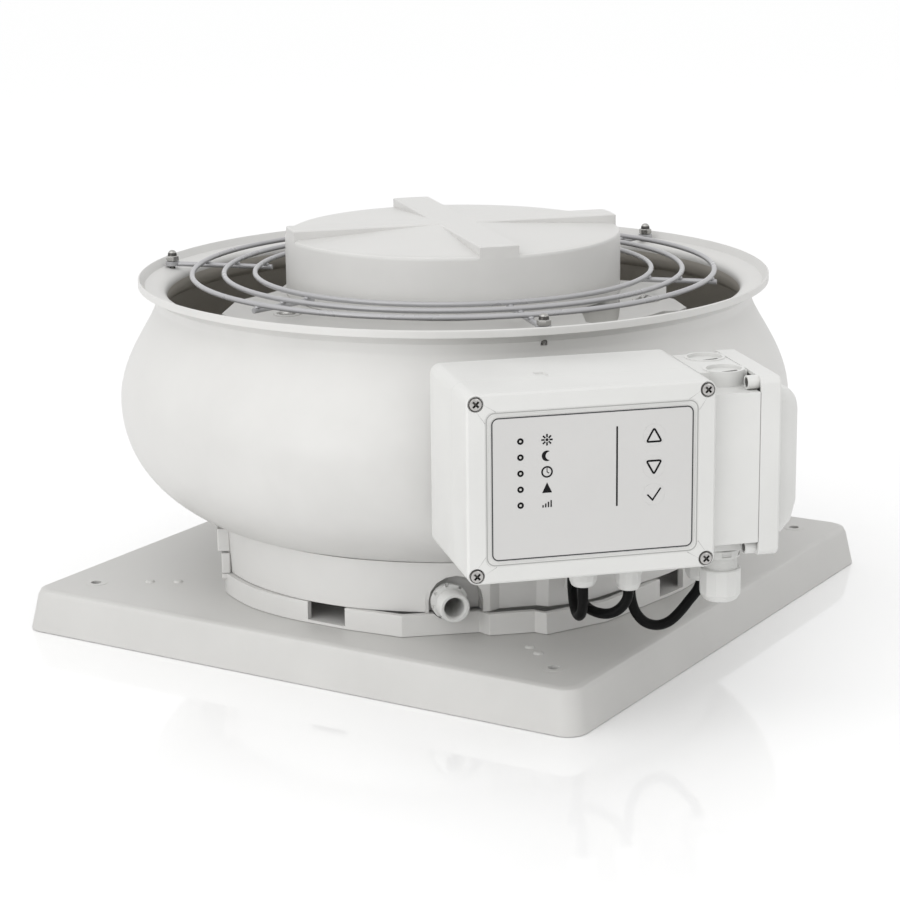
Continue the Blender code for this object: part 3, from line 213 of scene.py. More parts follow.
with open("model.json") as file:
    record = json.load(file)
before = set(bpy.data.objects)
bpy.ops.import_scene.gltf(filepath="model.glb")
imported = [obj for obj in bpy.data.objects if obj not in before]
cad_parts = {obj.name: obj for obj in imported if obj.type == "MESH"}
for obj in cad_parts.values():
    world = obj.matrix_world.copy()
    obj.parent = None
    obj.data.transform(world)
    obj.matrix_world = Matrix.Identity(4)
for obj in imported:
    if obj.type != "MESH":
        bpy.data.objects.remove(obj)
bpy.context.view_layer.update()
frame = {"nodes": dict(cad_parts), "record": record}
bodies = frame["record"]["behaviour"]["bodies"]
body_of_node = {node: body for body, nodes in bodies.items() for node in nodes}
pieces = []                       # (object, CAD body) in the order they are made


def add_object(name, data):
    item = bpy.data.objects.new(name, data)
    bpy.context.collection.objects.link(item)
    return item


def put(item, parent, location, turn):
    """Set an object's place; turn is in degrees about X, Y and Z."""
    item.parent = parent
    item.location = location
    item.rotation_euler = [math.radians(angle) for angle in turn]


def make_frame(name, parent=None, location=ORIGIN, turn=ORIGIN):
    empty = add_object(name, None)
    put(empty, parent, location, turn)
    return empty


def new_object(name, bm, finish, parent, location=ORIGIN, turn=ORIGIN):
    bmesh.ops.remove_doubles(bm, verts=bm.verts, dist=1e-6)
    bmesh.ops.recalc_face_normals(bm, faces=bm.faces)
    mesh = bpy.data.meshes.new(name)
    bm.to_mesh(mesh)
    bm.free()
    mesh.materials.append(finish)
    item = add_object(name, mesh)
    put(item, parent, location, turn)
    return item


def finish_mesh(name, bm, finish, parent, location=ORIGIN, turn=ORIGIN):
    """A visible piece. One that has a CAD node's name stands for that node; others are details."""
    node = name if name in body_of_node else None
    item = new_object(f"{name}_skin" if node else name, bm, finish, parent, location, turn)
    if node:
        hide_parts(node)
    pieces.append((item, body_of_node.get(node, "fan_frame")))
    return item


def bake_modifiers(item):
    """Make what a piece's modifiers do its own mesh."""
    bpy.context.view_layer.update()
    graph = bpy.context.evaluated_depsgraph_get()
    mesh = bpy.data.meshes.new_from_object(item.evaluated_get(graph))
    item.modifiers.clear()
    item.data = mesh


def soften(item, width=EDGE, segments=2, sharper_than=28.0):
    """Round every edge of a piece that is sharper than an angle."""
    change = item.modifiers.new("edges", "BEVEL")
    change.width = width
    change.segments = segments
    change.limit_method = "ANGLE"
    change.angle_limit = math.radians(sharper_than)
    change.use_clamp_overlap = True
    bake_modifiers(item)


def cut(item, bm, parent, location=ORIGIN, turn=ORIGIN, operation="DIFFERENCE"):
    """Take a shape out of a piece once and for all."""
    tool = new_object("tool", bm, CASING_PLASTIC, parent, location, turn)
    change = item.modifiers.new(operation.lower(), "BOOLEAN")
    change.operation = operation
    change.solver = "EXACT"
    change.object = tool
    bake_modifiers(item)
    bpy.data.objects.remove(tool, do_unlink=True)


def fuse(item, bm, parent, location=ORIGIN, turn=ORIGIN):
    cut(item, bm, parent, location, turn, "UNION")


def filleted(outline, radius, steps=2):
    """Round the sharp corners of an outline; short sides limit the radius."""
    result = []
    count = len(outline)
    for i in range(count):
        before, here, after = (Vector(outline[(i + k) % count]) for k in (-1, 0, 1))
        to_before = before - here
        to_after = after - here
        if here.x <= 0.0 or min(to_before.length, to_after.length) < 1e-7:
            result.append(tuple(here))
            continue
        bend = math.pi - to_before.angle(to_after)
        reach = min(radius * math.tan(0.5 * bend), 0.42 * to_before.length, 0.42 * to_after.length)
        if bend < math.radians(24.0):
            result.append(tuple(here))
            continue
        start = here + to_before.normalized() * reach
        end = here + to_after.normalized() * reach
        for step in range(steps + 1):
            u = step / steps
            result.append(tuple(start * (1.0 - u) ** 2 + here * (2.0 * u * (1.0 - u)) + end * u ** 2))
    return result


def spun_bmesh(outline, steps):
    bm = bmesh.new()
    verts = [bm.verts.new((radius, 0.0, height)) for radius, height in outline]
    pairs = [(a, b) for a, b in zip(verts, verts[1:] + verts[:1]) if a.co.x > 0.0 or b.co.x > 0.0]
    edges = [bm.edges.new(pair) for pair in pairs]
    bmesh.ops.spin(bm, geom=verts + edges, cent=(0.0, 0.0, 0.0), axis=(0.0, 0.0, 1.0),
                   angle=2.0 * math.pi, steps=steps, use_merge=True)
    return bm


def turned(name, outline, finish, parent, steps=ROUND, location=ORIGIN, turn=ORIGIN, edge=EDGE):
    """Spin a closed outline of (radius, height) points about the local Z axis."""
    return finish_mesh(name, spun_bmesh(filleted(outline, edge), steps), finish, parent, location, turn)


def stacked_bmesh(levels):
    """Join loops of equal point count into one skin, with a cap on the first and the last loop."""
    bm = bmesh.new()
    loops = [[bm.verts.new((x, y, height)) for x, y in outline] for outline, height in levels]
    count = len(loops[0])
    for low, high in zip(loops, loops[1:]):
        for i in range(count):
            j = (i + 1) % count
            bm.faces.new((low[i], low[j], high[j], high[i]))
    bm.faces.new(loops[0])
    bm.faces.new(loops[-1])
    return bm


def prism(outline, low, high):
    return stacked_bmesh([(outline, low), (outline, high)])


def stacked(name, levels, finish, parent, location=ORIGIN, turn=ORIGIN, edge=EDGE):
    item = finish_mesh(name, stacked_bmesh(levels), finish, parent, location, turn)
    soften(item, edge)
    return item


def rounded_rect(half_x, half_y, radius, mid=(0.0, 0.0), corner_steps=24):
    points = []
    for quarter in range(4):
        sign_x = (1, -1, -1, 1)[quarter]
        sign_y = (1, 1, -1, -1)[quarter]
        centre_x = mid[0] + sign_x * (half_x - radius)
        centre_y = mid[1] + sign_y * (half_y - radius)
        for step in range(corner_steps + 1):
            angle = math.radians(90.0 * quarter + 90.0 * step / corner_steps)
            points.append((centre_x + radius * math.cos(angle), centre_y + radius * math.sin(angle)))
    return points


def disc(radius, mid=(0.0, 0.0), steps=SMALL_ROUND):
    angles = [2.0 * math.pi * i / steps for i in range(steps)]
    return [(mid[0] + radius * math.cos(a), mid[1] + radius * math.sin(a)) for a in angles]


def polar_outline(stations, grow=0.0, arc_step=2.5):
    """Points of an outline given as (degrees, radius); one marked "arc" bends to the next station."""
    points = []
    count = len(stations)
    for i, (angle, radius, *bend) in enumerate(stations):
        next_angle, next_radius = stations[(i + 1) % count][:2]
        if next_angle <= angle:
            next_angle += 360.0
        steps = max(1, math.ceil((next_angle - angle) / arc_step)) if bend else 1
        for step in range(steps):
            share = step / steps
            here = math.radians(angle + share * (next_angle - angle))
            reach = radius + share * (next_radius - radius) + grow
            points.append((reach * math.cos(here), reach * math.sin(here)))
    return points


def shrunk(points, inset):
    """Move every edge of an anticlockwise polygon inwards."""
    result = []
    count = len(points)
    for i in range(count):
        before, here, after = (Vector(points[(i + k) % count]) for k in (-1, 0, 1))
        first = (here - before).normalized()
        second = (after - here).normalized()
        normal_a = Vector((-first.y, first.x))
        normal_b = Vector((-second.y, second.x))
        middle = (normal_a + normal_b).normalized()
        result.append(tuple(here + middle * (inset / max(0.3, middle.dot(normal_a)))))
    return result


def bezier(start, handle_a, handle_b, end, steps):
    points = []
    for i in range(steps + 1):
        u = i / steps
        v = 1.0 - u
        points.append(tuple(v ** 3 * a + 3.0 * v * v * u * b + 3.0 * v * u * u * c + u ** 3 * e
                            for a, b, c, e in zip(start, handle_a, handle_b, end)))
    return points


def offset_path(path, distance):
    """Shift an open path sideways, to its left."""
    result = []
    for i, point in enumerate(path):
        before = Vector(path[max(0, i - 1)])
        after = Vector(path[min(len(path) - 1, i + 1)])
        along = (after - before).normalized()
        result.append((point[0] - along.y * distance, point[1] + along.x * distance))
    return result


def join_bmeshes(parts):
    """Collect several bmeshes that stay clear of each other."""
    whole = bmesh.new()
    for part in parts:
        mesh = bpy.data.meshes.new("scratch")
        part.to_mesh(mesh)
        part.free()
        whole.from_mesh(mesh)
        bpy.data.meshes.remove(mesh)
    return whole


def rods_bmesh(places, low, high, steps=SMALL_ROUND):
    """Upright cylinders: places holds (x, y, radius)."""
    rods = []
    for x, y, radius in places:
        rods.append(prism(disc(radius, (x, y), steps), low, high))
    return join_bmeshes(rods)


def drill(item, places, low, high, parent, steps=SMALL_ROUND):
    """Cut round holes: places holds (x, y, radius)."""
    cut(item, rods_bmesh(places, low, high, steps), parent)


def notches_bmesh(count, half_x, half_y, corner, reach, low, high, first=0.0):
    """Upright blocks set round a ring, that cut its notches."""
    notches = []
    for i in range(count):
        notch = prism(rounded_rect(half_x, half_y, corner), low, high)
        turn = Matrix.Rotation(math.radians(360.0 * i / count + first), 4, "Z")
        notch.transform(turn @ Matrix.Translation((reach, 0.0, 0.0)))
        notches.append(notch)
    return join_bmeshes(notches)


def around(radius, degrees):
    return radius * math.cos(math.radians(degrees)), radius * math.sin(math.radians(degrees))


def smooth_route(route, spacing):
    """Points along a Catmull-Rom curve through the route's own points."""
    padded = [route[0]] + route + [route[-1]]
    points = [Vector(route[0])]
    for p0, p1, p2, p3 in (map(Vector, padded[i:i + 4]) for i in range(len(route) - 1)):
        steps = max(1, round((p2 - p1).length / spacing))
        for step in range(1, steps + 1):
            u = step / steps
            points.append(0.5 * (2.0 * p1 + (p2 - p0) * u + (2.0 * p0 - 5.0 * p1 + 4.0 * p2 - p3) * u ** 2
                                 + (3.0 * p1 - p0 - 3.0 * p2 + p3) * u ** 3))
    return points


# ---- materials


FINISHES = {}                     # finish of each material slot


def add_node(tree, kind, **values):
    node = tree.nodes.new(kind)
    for name, value in values.items():
        node.inputs[name.replace("_", " ")].default_value = value
    return node


def grained(slot, name, color, roughness, grain=900.0, depth=0.00004, mottle=0.03, metallic=0.0, spread=0.06,
            brushed=1.0, shine=0.5):
    """A moulded, cast or drawn surface: fine grain in the bump, slow drift in colour and gloss.

    The first finish of a slot is also the one that the slot's bare CAD pieces show.
    """
    finish = bpy.data.materials.new(name)
    FINISHES.setdefault(slot, finish)
    finish.use_nodes = True
    tree = finish.node_tree
    shader = tree.nodes["Principled BSDF"]
    shader.inputs["Metallic"].default_value = metallic
    shader.inputs["Specular IOR Level"].default_value = shine
    place = tree.nodes.new("ShaderNodeTexCoord")
    stretch = add_node(tree, "ShaderNodeMapping", Scale=(1.0, 1.0, brushed))
    tree.links.new(place.outputs["Object"], stretch.inputs["Vector"])
    fine = add_node(tree, "ShaderNodeTexNoise", Scale=grain, Detail=3.0, Roughness=0.6)
    slow = add_node(tree, "ShaderNodeTexNoise", Scale=14.0, Detail=4.0, Roughness=0.55)
    tree.links.new(stretch.outputs["Vector"], fine.inputs["Vector"])
    tree.links.new(place.outputs["Object"], slow.inputs["Vector"])
    tint = tree.nodes.new("ShaderNodeValToRGB")
    tint.color_ramp.elements[0].position = 0.3
    tint.color_ramp.elements[1].position = 0.7
    tint.color_ramp.elements[0].color = (*[channel * (1.0 - mottle) for channel in color], 1.0)
    tint.color_ramp.elements[1].color = (*[min(1.0, channel * (1.0 + mottle)) for channel in color], 1.0)
    tree.links.new(slow.outputs["Fac"], tint.inputs["Fac"])
    tree.links.new(tint.outputs["Color"], shader.inputs["Base Color"])
    gloss = add_node(tree, "ShaderNodeMapRange", From_Min=0.3, From_Max=0.7, To_Min=roughness - spread,
                     To_Max=roughness + spread)
    tree.links.new(slow.outputs["Fac"], gloss.inputs["Value"])
    tree.links.new(gloss.outputs["Result"], shader.inputs["Roughness"])
    bump = add_node(tree, "ShaderNodeBump", Strength=0.5, Distance=depth)
    tree.links.new(fine.outputs["Fac"], bump.inputs["Height"])
    tree.links.new(bump.outputs["Normal"], shader.inputs["Normal"])
    return finish


# ---- camera and leads


def make_camera():
    """A long lens on a stand to the front left, a little above the fan."""
    azimuth = math.radians(CAMERA_AZIMUTH)
    elevation = math.radians(CAMERA_ELEVATION)
    roll = math.radians(CAMERA_ROLL)
    right = Vector((math.cos(azimuth), math.sin(azimuth), 0.0))
    back = Vector((math.sin(azimuth) * math.cos(elevation), -math.cos(azimuth) * math.cos(elevation),
                   math.sin(elevation)))
    up = back.cross(right)
    rolled_right = math.cos(roll) * right + math.sin(roll) * up
    rolled_up = math.cos(roll) * up - math.sin(roll) * right
    aim = right * CAMERA_SHIFT + Vector((0.0, 0.0, CAMERA_AIM_Z))
    place = Matrix((rolled_right, rolled_up, back)).transposed().to_4x4()
    place.translation = aim + back * CAMERA_DISTANCE
    data = bpy.data.cameras.new("camera")
    data.sensor_width = 36.0
    data.lens = CAMERA_LENS
    data.clip_end = 60.0
    camera = add_object("camera", data)
    camera.matrix_world = place
    bpy.context.scene.camera = camera


# Each lead's route as (d, t, z) points, the same as the frame's
LEADS = {
    "motor_lead": [
        (0.345, 0.0154, 0.1087), (0.345, 0.0154, 0.101),
        (0.3447, 0.0155, 0.094), (0.3405, 0.0157, 0.086),
        (0.3335, 0.0158, 0.0812), (0.3255, 0.016, 0.0812),
        (0.318, 0.0164, 0.085), (0.312, 0.0172, 0.0915),
        (0.3045, 0.0188, 0.0975), (0.2955, 0.0215, 0.1005),
        (0.285, 0.0255, 0.101), (0.274, 0.0305, 0.0985),
        (0.2625, 0.036, 0.0945), (0.252, 0.04, 0.09), (0.242, 0.042, 0.087),
        (ENTRY_FACE_D + GAP, ENTRY_T, ENTRY_HIGH_Z),
    ],
    "sensor_lead": [
        (0.345, 0.051, 0.1032), (0.345, 0.0507, 0.0975),
        (0.344, 0.0485, 0.0915), (0.341, 0.044, 0.0855),
        (0.336, 0.0385, 0.0818), (0.329, 0.033, 0.0805),
        (0.32, 0.0285, 0.081), (0.31, 0.0262, 0.0828),
        (0.299, 0.0262, 0.0842), (0.287, 0.0285, 0.0845),
        (0.274, 0.0325, 0.0832), (0.262, 0.037, 0.0805),
        (0.252, 0.0402, 0.078), (0.242, 0.042, 0.076), (ENTRY_FACE_D + GAP, ENTRY_T, ENTRY_LOW_Z),
    ],
    "link_lead": [
        (0.318, 0.061, 0.1042), (0.318, 0.0611, 0.095),
        (0.3178, 0.0622, 0.085), (0.3175, 0.066, 0.0745),
        (0.317, 0.0735, 0.066), (0.3166, 0.0835, 0.0625),
        (0.3162, 0.093, 0.0645), (0.3158, 0.1015, 0.071),
        (0.3155, 0.1095, 0.08), (0.3152, 0.116, 0.0875),
        (0.315, 0.1187, 0.0935), (0.315, 0.119, 0.0972),
    ],
}


def make_leads():
    bpy.context.view_layer.update()
    for name, route in LEADS.items():
        points = [panel_frame.matrix_world @ point for point in smooth_route(route, 0.5 * CABLE_R)]
        curve = bpy.data.curves.new(f"{name}_skin", "CURVE")
        curve.dimensions = "3D"
        curve.bevel_depth = CABLE_R
        curve.bevel_resolution = 6
        curve.use_fill_caps = True
        curve.use_path = False
        spline = curve.splines.new("POLY")
        spline.points.add(len(points) - 1)
        for spline_point, point in zip(spline.points, points):
            spline_point.co = (*point, 1.0)
        curve.materials.append(CABLE_RUBBER)
        lead = add_object(f"{name}_skin", curve)
        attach(lead, "fan_frame")
        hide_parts(name)


# ---- base, collar and skirt


def pips_bmesh():
    """Low domes on the tray's top."""
    pips = []
    for mid in PIPS:
        levels = [(1.0, -0.003), (1.0, 0.0), (0.8, 0.7 * PIP_RISE), (0.45, PIP_RISE)]
        loops = [(disc(share * PIP_R, mid), TRAY_HEIGHT + rise) for share, rise in levels]
        pips.append(stacked_bmesh(loops))
    return join_bmeshes(pips)


def make_base_tray():
    rows = (
        # half width, corner radius, height
        (TRAY_TOP_HALF - 0.008, 0.01, TRAY_HEIGHT - TRAY_WALL),
        (TRAY_TOP_HALF - 0.0045, 0.012, 0.028),
        (TRAY_HALF - TRAY_WALL, 0.014, 0.0),
        (TRAY_HALF, 0.017, 0.0),
        (TRAY_TOP_HALF + 0.0012, 0.016, 0.0295),
        (TRAY_TOP_HALF - 0.001, 0.0145, 0.034),
        (TRAY_TOP_HALF - 0.006, 0.011, TRAY_HEIGHT),
    )
    levels = [(rounded_rect(half, half, radius), height) for half, radius, height in rows]
    tray = stacked("base_tray", levels, TRAY_SHADED_PLASTIC, fan_axis)
    half = FIXING_HALF_PITCH
    corners = [(x, y) for x in (-half, half) for y in (-half, half)]
    pads = rods_bmesh([(x, y, FIXING_PAD_R) for x, y in corners], 0.033, TRAY_HEIGHT + FIXING_PAD_RISE, 24)
    fuse(tray, pads, fan_axis)
    fuse(tray, pips_bmesh(), fan_axis)
    drill(tray, [(x, y, FIXING_HOLE_R) for x, y in corners], 0.02, 0.05, fan_axis)
    drill(tray, [(0.0, 0.0, TRAY_OPENING_R)], 0.02, 0.05, fan_axis, ROUND)


# Outlines seen from above, as (degrees, radius)
COLLAR_STATIONS = [
    (-120.0, 0.2226, "arc"), (-106.5, 0.2275, "arc"), (-92.8, 0.2275), (-81.5, 0.23),
    (-69.1, 0.2375), (-53.8, 0.2235), (-52.0, 0.233), (-42.9, 0.2327),
    (-41.2, 0.2415), (-27.0, 0.2332), (-9.5, 0.2206, "arc"), (20.0, 0.226, "arc"),
    (180.0, 0.226),
]
SKIRT_STATIONS = [
    (-120.0, 0.218, "arc"), (-108.0, 0.2225, "arc"), (-93.0, 0.2258, "arc"), (-81.0, 0.2275, "arc"),
    (-64.0, 0.2268, "arc"), (-51.7, 0.2266), (-49.6, 0.2205), (-41.6, 0.22),
    (-39.5, 0.2263), (-34.0, 0.2263), (-28.0, 0.2235), (-9.6, 0.2166, "arc"),
    (20.0, 0.224, "arc"), (180.0, 0.224),
]
LUG_PLACE = (-0.1085, -0.1905)    # the corner where the round wall meets the flat one
LUG_ANGLE = -148.0
SKIRT_LUGS = ((0.074, 0.093, 0.0105), (0.0547, 0.0718, 0.0075))      # low z, high z, reach


def lug_bmesh(low, high, reach):
    """A small upright lug that stands out of the wall at LUG_PLACE."""
    bm = prism(rounded_rect(0.5 * reach, 0.006, 0.0015), low, high)
    out_x, out_y = around(0.5 * reach - 0.002, LUG_ANGLE)
    turn = Matrix.Rotation(math.radians(LUG_ANGLE), 4, "Z")
    bm.transform(Matrix.Translation((LUG_PLACE[0] + out_x, LUG_PLACE[1] + out_y, 0.0)) @ turn)
    return bm


def make_collar():
    low = TRAY_HEIGHT + GAP
    flange_top = low + 0.0025
    outer = polar_outline(COLLAR_STATIONS)
    collar = stacked("base_collar", [(outer, low), (outer, COLLAR_TOP)], CASING_PLASTIC, fan_axis)
    fuse(collar, lug_bmesh(0.05, COLLAR_TOP - 0.0002, 0.0075), fan_axis)
    inner = polar_outline(COLLAR_STATIONS, -COLLAR_WALL)
    cut(collar, prism(inner, flange_top, COLLAR_TOP + PAST), fan_axis)
    drill(collar, [(0.0, 0.0, COLLAR_EYE_R)], 0.02, 0.08, fan_axis, ROUND)
    drill(collar, [(SPIGOT_T, SPIGOT_Z, SPIGOT_CLEAR_R)], 0.19, 0.26, face_frame, 48)
    slots = []
    for start, end in ((-90.6, -81.5), (-8.5, 0.6), (81.5, 90.6)):
        wedge = [around(0.205, start), around(0.26, start), around(0.26, end), around(0.205, end)]
        slots.append(prism(wedge, flange_top + 0.0002, COLLAR_TOP + PAST))
    cut(collar, join_bmeshes(slots), fan_axis)


def arch_outline(half_width, low, spring, mid, steps=8):
    """An opening with upright sides and a round head, in the (t, z) plane."""
    points = [(mid - half_width, low), (mid + half_width, low)]
    for i in range(steps + 1):
        angle = math.pi * i / steps
        points.append((mid + half_width * math.cos(angle), spring + half_width * math.sin(angle)))
    return points


def make_skirt():
    low = COLLAR_TOP + GAP
    outside = [(polar_outline(SKIRT_STATIONS), low), (polar_outline(SKIRT_STATIONS, SKIRT_FLARE), SKIRT_TOP)]
    inside = [(polar_outline(SKIRT_STATIONS, -SKIRT_WALL), low - PAST),
              (polar_outline(SKIRT_STATIONS, SKIRT_FLARE - SKIRT_WALL), SKIRT_TOP + PAST)]
    skirt = stacked("neck_skirt", outside, CASING_PLASTIC, fan_axis)
    for bottom, top, reach in SKIRT_LUGS:
        fuse(skirt, lug_bmesh(bottom, top, reach), fan_axis)
    cut(skirt, stacked_bmesh(inside), fan_axis)
    niche = arch_outline(ARCH_HALF + 0.003, low, SPIGOT_Z + 0.0008, ARCH_T)
    fuse(skirt, prism(niche, 0.206, 0.215), face_frame)
    side_a, side_b = ENTRY_T - 0.007, ENTRY_T + 0.007
    entry = [(0.221, side_a), (ENTRY_FACE_D, side_a), (ENTRY_FACE_D, side_b), (0.2175, side_b)]
    fuse(skirt, prism(entry, ENTRY_LOW_Z - 0.006, ENTRY_HIGH_Z + 0.006), panel_frame)
    arch = arch_outline(ARCH_HALF, low - PAST, SPIGOT_Z, ARCH_T)
    cut(skirt, prism(arch, 0.209, 0.26), face_frame)
    drill(skirt, [(SPIGOT_T, SPIGOT_Z, SPIGOT_HOLE_R)], 0.19, 0.23, face_frame)


def make_spigot():
    """A gland body without its cap nut: a threaded tube with a notched ring, in the niche's back wall."""
    outline = [
        (0.008, 0.198), (0.0103, 0.198), (0.0103, 0.218), (0.0148, 0.218), (0.0148, 0.2235),
        (0.0112, 0.2245), (0.0112, 0.2268),
    ]
    outline += threaded(0.0123, 0.2274, 0.2392, 0.0013, 0.0008)
    outline += [(0.0121, 0.2398), (0.0112, 0.2405), (0.0092, 0.2405), (0.008, 0.238)]
    place = (SPIGOT_T, SPIGOT_Z, 0.0)
    spigot = turned("cable_spigot", outline, GLAND_PLASTIC, face_frame, 64, place, edge=0.0002)
    notches = notches_bmesh(8, 0.0016, 0.0014, 0.0003, 0.0146, 0.2195, 0.224, 10.0)
    cut(spigot, notches, face_frame, place)


# ---- casing


def casing_side():
    """The casing's outer side, from its foot up to the throat."""
    wide = (CASING_R, CASING_WIDE_Z)
    lower = bezier((0.229, SKIRT_TOP + GAP), (0.256, 0.1105), (CASING_R, 0.138), wide, 22)
    upper = bezier(wide, (CASING_R, 0.226), (THROAT_R, 0.256), (THROAT_R, THROAT_Z), 16)
    return lower + upper[1:]


def make_casing():
    side = casing_side()
    inner_side = [point for point in offset_path(side, CASING_WALL) if 0.102 < point[1] < 0.262]
    foot = SKIRT_TOP + GAP
    rim = [
        (0.258, 0.279), (0.263, 0.2836), (RIM_R, 0.2862), (RIM_R, 0.2918), (0.269, 0.2926), (0.2645, 0.2864),
    ]
    rim += bezier((0.2545, 0.2845), (0.2492, 0.2834), (OUTLET_R, 0.2815), (OUTLET_R, 0.2765), 10)
    rim += bezier((0.2461, 0.273), (0.2464, 0.27), (0.248, 0.266), (0.2505, 0.263), 4)
    floor = [(0.225, foot + CASING_WALL), (CASING_FLOOR_R, foot + CASING_WALL), (CASING_FLOOR_R, foot)]
    outline = side + rim + inner_side[::-1] + floor
    casing = turned("bowl_casing", outline, CASING_PLASTIC, fan_axis, CASING_ROUND)
    places = [(*around(STUD_CIRCLE_R, ROD_FIRST_ANGLE + 120.0 * i), STUD_HOLE_R) for i in range(3)]
    drill(casing, places, STUD_LOW_Z - 0.0007, 0.3, fan_axis, 32)


def dress_faces(item, finish, chosen):
    """Give a second material to the faces whose centre and normal are chosen."""
    item.data.materials.append(finish)
    index = len(item.data.materials) - 1
    for face in item.data.polygons:
        if chosen(face.center, face.normal):
            face.material_index = index


def is_casing_shade_face(centre, normal):
    """Whether a face of the casing gets painted shade: the floor inside, or the inner wall below the rim."""
    inwards = normal.x * centre.x + normal.y * centre.y < 0.0
    on_floor = normal.z > 0.5 and centre.z < SKIRT_TOP + 2.0 * CASING_WALL
    return on_floor or (inwards and centre.z < OUTLET_SHADE_Z)


# ---- motor, impeller and bridge


# The bridge seen from above, as (degrees, radius)
BRIDGE_STATIONS = [
    (-150.0, 0.15), (-144.0, 0.16), (-134.5, 0.1897), (-120.5, 0.2165, "arc"),
    (-101.0, 0.2165), (-99.0, 0.205, "arc"), (-1.0, 0.205), (1.0, 0.216),
    (5.0, 0.2155), (14.0, 0.195), (16.0, 0.1865), (34.0, 0.185),
    (40.4, 0.182), (41.0, 0.163), (44.0, 0.15, "arc"), (98.0, 0.15),
    (108.0, 0.1897), (118.0, 0.216, "arc"), (142.0, 0.216), (152.0, 0.1897),
    (162.0, 0.15, "arc"),
]
# The recess beside the cap, sunk into the bridge; its floor gets painted shade
BRIDGE_RECESS = [
    (0.1285, -0.0115), (0.1508, -0.0444), (0.1717, -0.0761), (0.189, -0.08), (0.196, -0.07),
    (0.1834, -0.0414), (0.164, -0.0029), (0.1515, 0.0208), (0.14, 0.013),
]


def is_recess_floor(centre, normal):
    """Whether a face of the bridge is the floor of its recess, where shade is painted."""
    return normal.z > 0.5 and abs(centre.z - BRIDGE_TOP + BRIDGE_RECESS_DEEP) < 0.0005


def post_angles():
    return [POST_FIRST_ANGLE + 120.0 * i for i in range(3)]


def make_bridge():
    outline = polar_outline(BRIDGE_STATIONS)
    low = BRIDGE_TOP - BRIDGE_RIM
    bridge = stacked("motor_bridge", [(outline, low), (outline, BRIDGE_TOP)], BRIDGE_PLASTIC, fan_axis)
    cut(bridge, prism(shrunk(outline, BRIDGE_WALL), low - PAST, BRIDGE_TOP - BRIDGE_PLATE), fan_axis)
    places = [(*around(POST_CIRCLE_R, angle), 0.0029) for angle in post_angles()]
    places.append((0.0, 0.0, BRIDGE_EYE_R))
    drill(bridge, places, 0.24, 0.29, fan_axis, 48)
    cut(bridge, prism(BRIDGE_RECESS, BRIDGE_TOP - BRIDGE_RECESS_DEEP, BRIDGE_TOP + PAST), fan_axis)


def make_bridge_screws():
    head_z = BRIDGE_TOP + GAP
    high = BRIDGE_TOP - BRIDGE_PLATE - GAP
    screw = [
        (0.0, high + GAP), (0.0025, high + GAP), (0.0025, head_z), (0.0068, head_z),
        (0.0066, head_z + 0.0012),
    ]
    screw += bezier((0.0064, head_z + 0.0018), (0.0054, head_z + 0.0034), (0.003, head_z + 0.004),
                    (0.0, head_z + 0.004), 5)
    for number, angle in enumerate(post_angles(), 1):
        place = (*around(POST_CIRCLE_R, angle), 0.0)
        turned(f"bridge_screw_{number}", screw, STAINLESS, fan_axis, 40, place)
        ring = [(0.008, BRIDGE_TOP - 0.0002), (0.0118, BRIDGE_TOP - 0.0002), (0.0114, BRIDGE_TOP + 0.0012),
                (0.0088, BRIDGE_TOP + 0.0012)]
        turned(f"bridge_ring_{number}", ring, BRIDGE_PLASTIC, fan_axis, 48, place)


def blade_foot(radius):
    """Height of a blade's lower edge, just above the shroud's cone."""
    cone_r, cone_z = SHROUD_CONE
    rise = (SHROUD_EDGE_Z - cone_z) / (IMPELLER_R - cone_r)
    return cone_z + (radius - cone_r) * rise + 0.0005


def blade_bmesh(start_angle):
    """One backward-curved blade: a bent plate between the shroud and the hub plate."""
    bm = bmesh.new()
    columns = []
    for i in range(13):
        share = i / 12.0
        radius = BLADE_INNER_R + 0.001 + share * (IMPELLER_R - BLADE_INNER_R - 0.004)
        angle = start_angle - 46.0 * share ** 0.85
        ring = []
        for side in (-1.0, 1.0):
            shift = math.degrees(side * 0.0014 / radius) * 1.6
            x, y = around(radius, angle + shift)
            heights = (blade_foot(radius), IMPELLER_PLATE_Z + 0.0015)
            ring.append([bm.verts.new((x, y, z)) for z in heights])
        columns.append(ring)
    for (a, b), (c, d) in zip(columns, columns[1:]):
        bm.faces.new((a[0], c[0], c[1], a[1]))
        bm.faces.new((b[0], b[1], d[1], d[0]))
        bm.faces.new((a[0], b[0], d[0], c[0]))
        bm.faces.new((a[1], c[1], d[1], b[1]))
    for a, b in (columns[0], columns[-1]):
        bm.faces.new((a[0], a[1], b[1], b[0]))
    bmesh.ops.recalc_face_normals(bm, faces=bm.faces)
    return bm


def make_impeller():
    bore = ROTOR_R + GAP
    plate = [
        (bore, 0.197), (bore + 0.004, 0.197), (bore + 0.004, 0.209), (bore + 0.008, IMPELLER_PLATE_Z),
        (IMPELLER_R, IMPELLER_PLATE_Z), (IMPELLER_R, 0.215), (bore, 0.215),
    ]
    wheel = turned("impeller_wheel", plate, IMPELLER_PLASTIC, fan_axis, 96)
    blades = join_bmeshes([blade_bmesh(360.0 * i / BLADE_COUNT) for i in range(BLADE_COUNT)])
    fuse(wheel, blades, fan_axis)
    shroud = [
        (IMPELLER_R, SHROUD_EDGE_Z), SHROUD_CONE, (SHROUD_EYE_R, 0.0985), (SHROUD_EYE_R, 0.086),
        (0.1005, 0.086), (0.1005, 0.0978), (0.105, 0.1055), (IMPELLER_R, SHROUD_EDGE_Z - 0.0022),
    ]
    turned("impeller_shroud", shroud, IMPELLER_PLASTIC, fan_axis, 96)


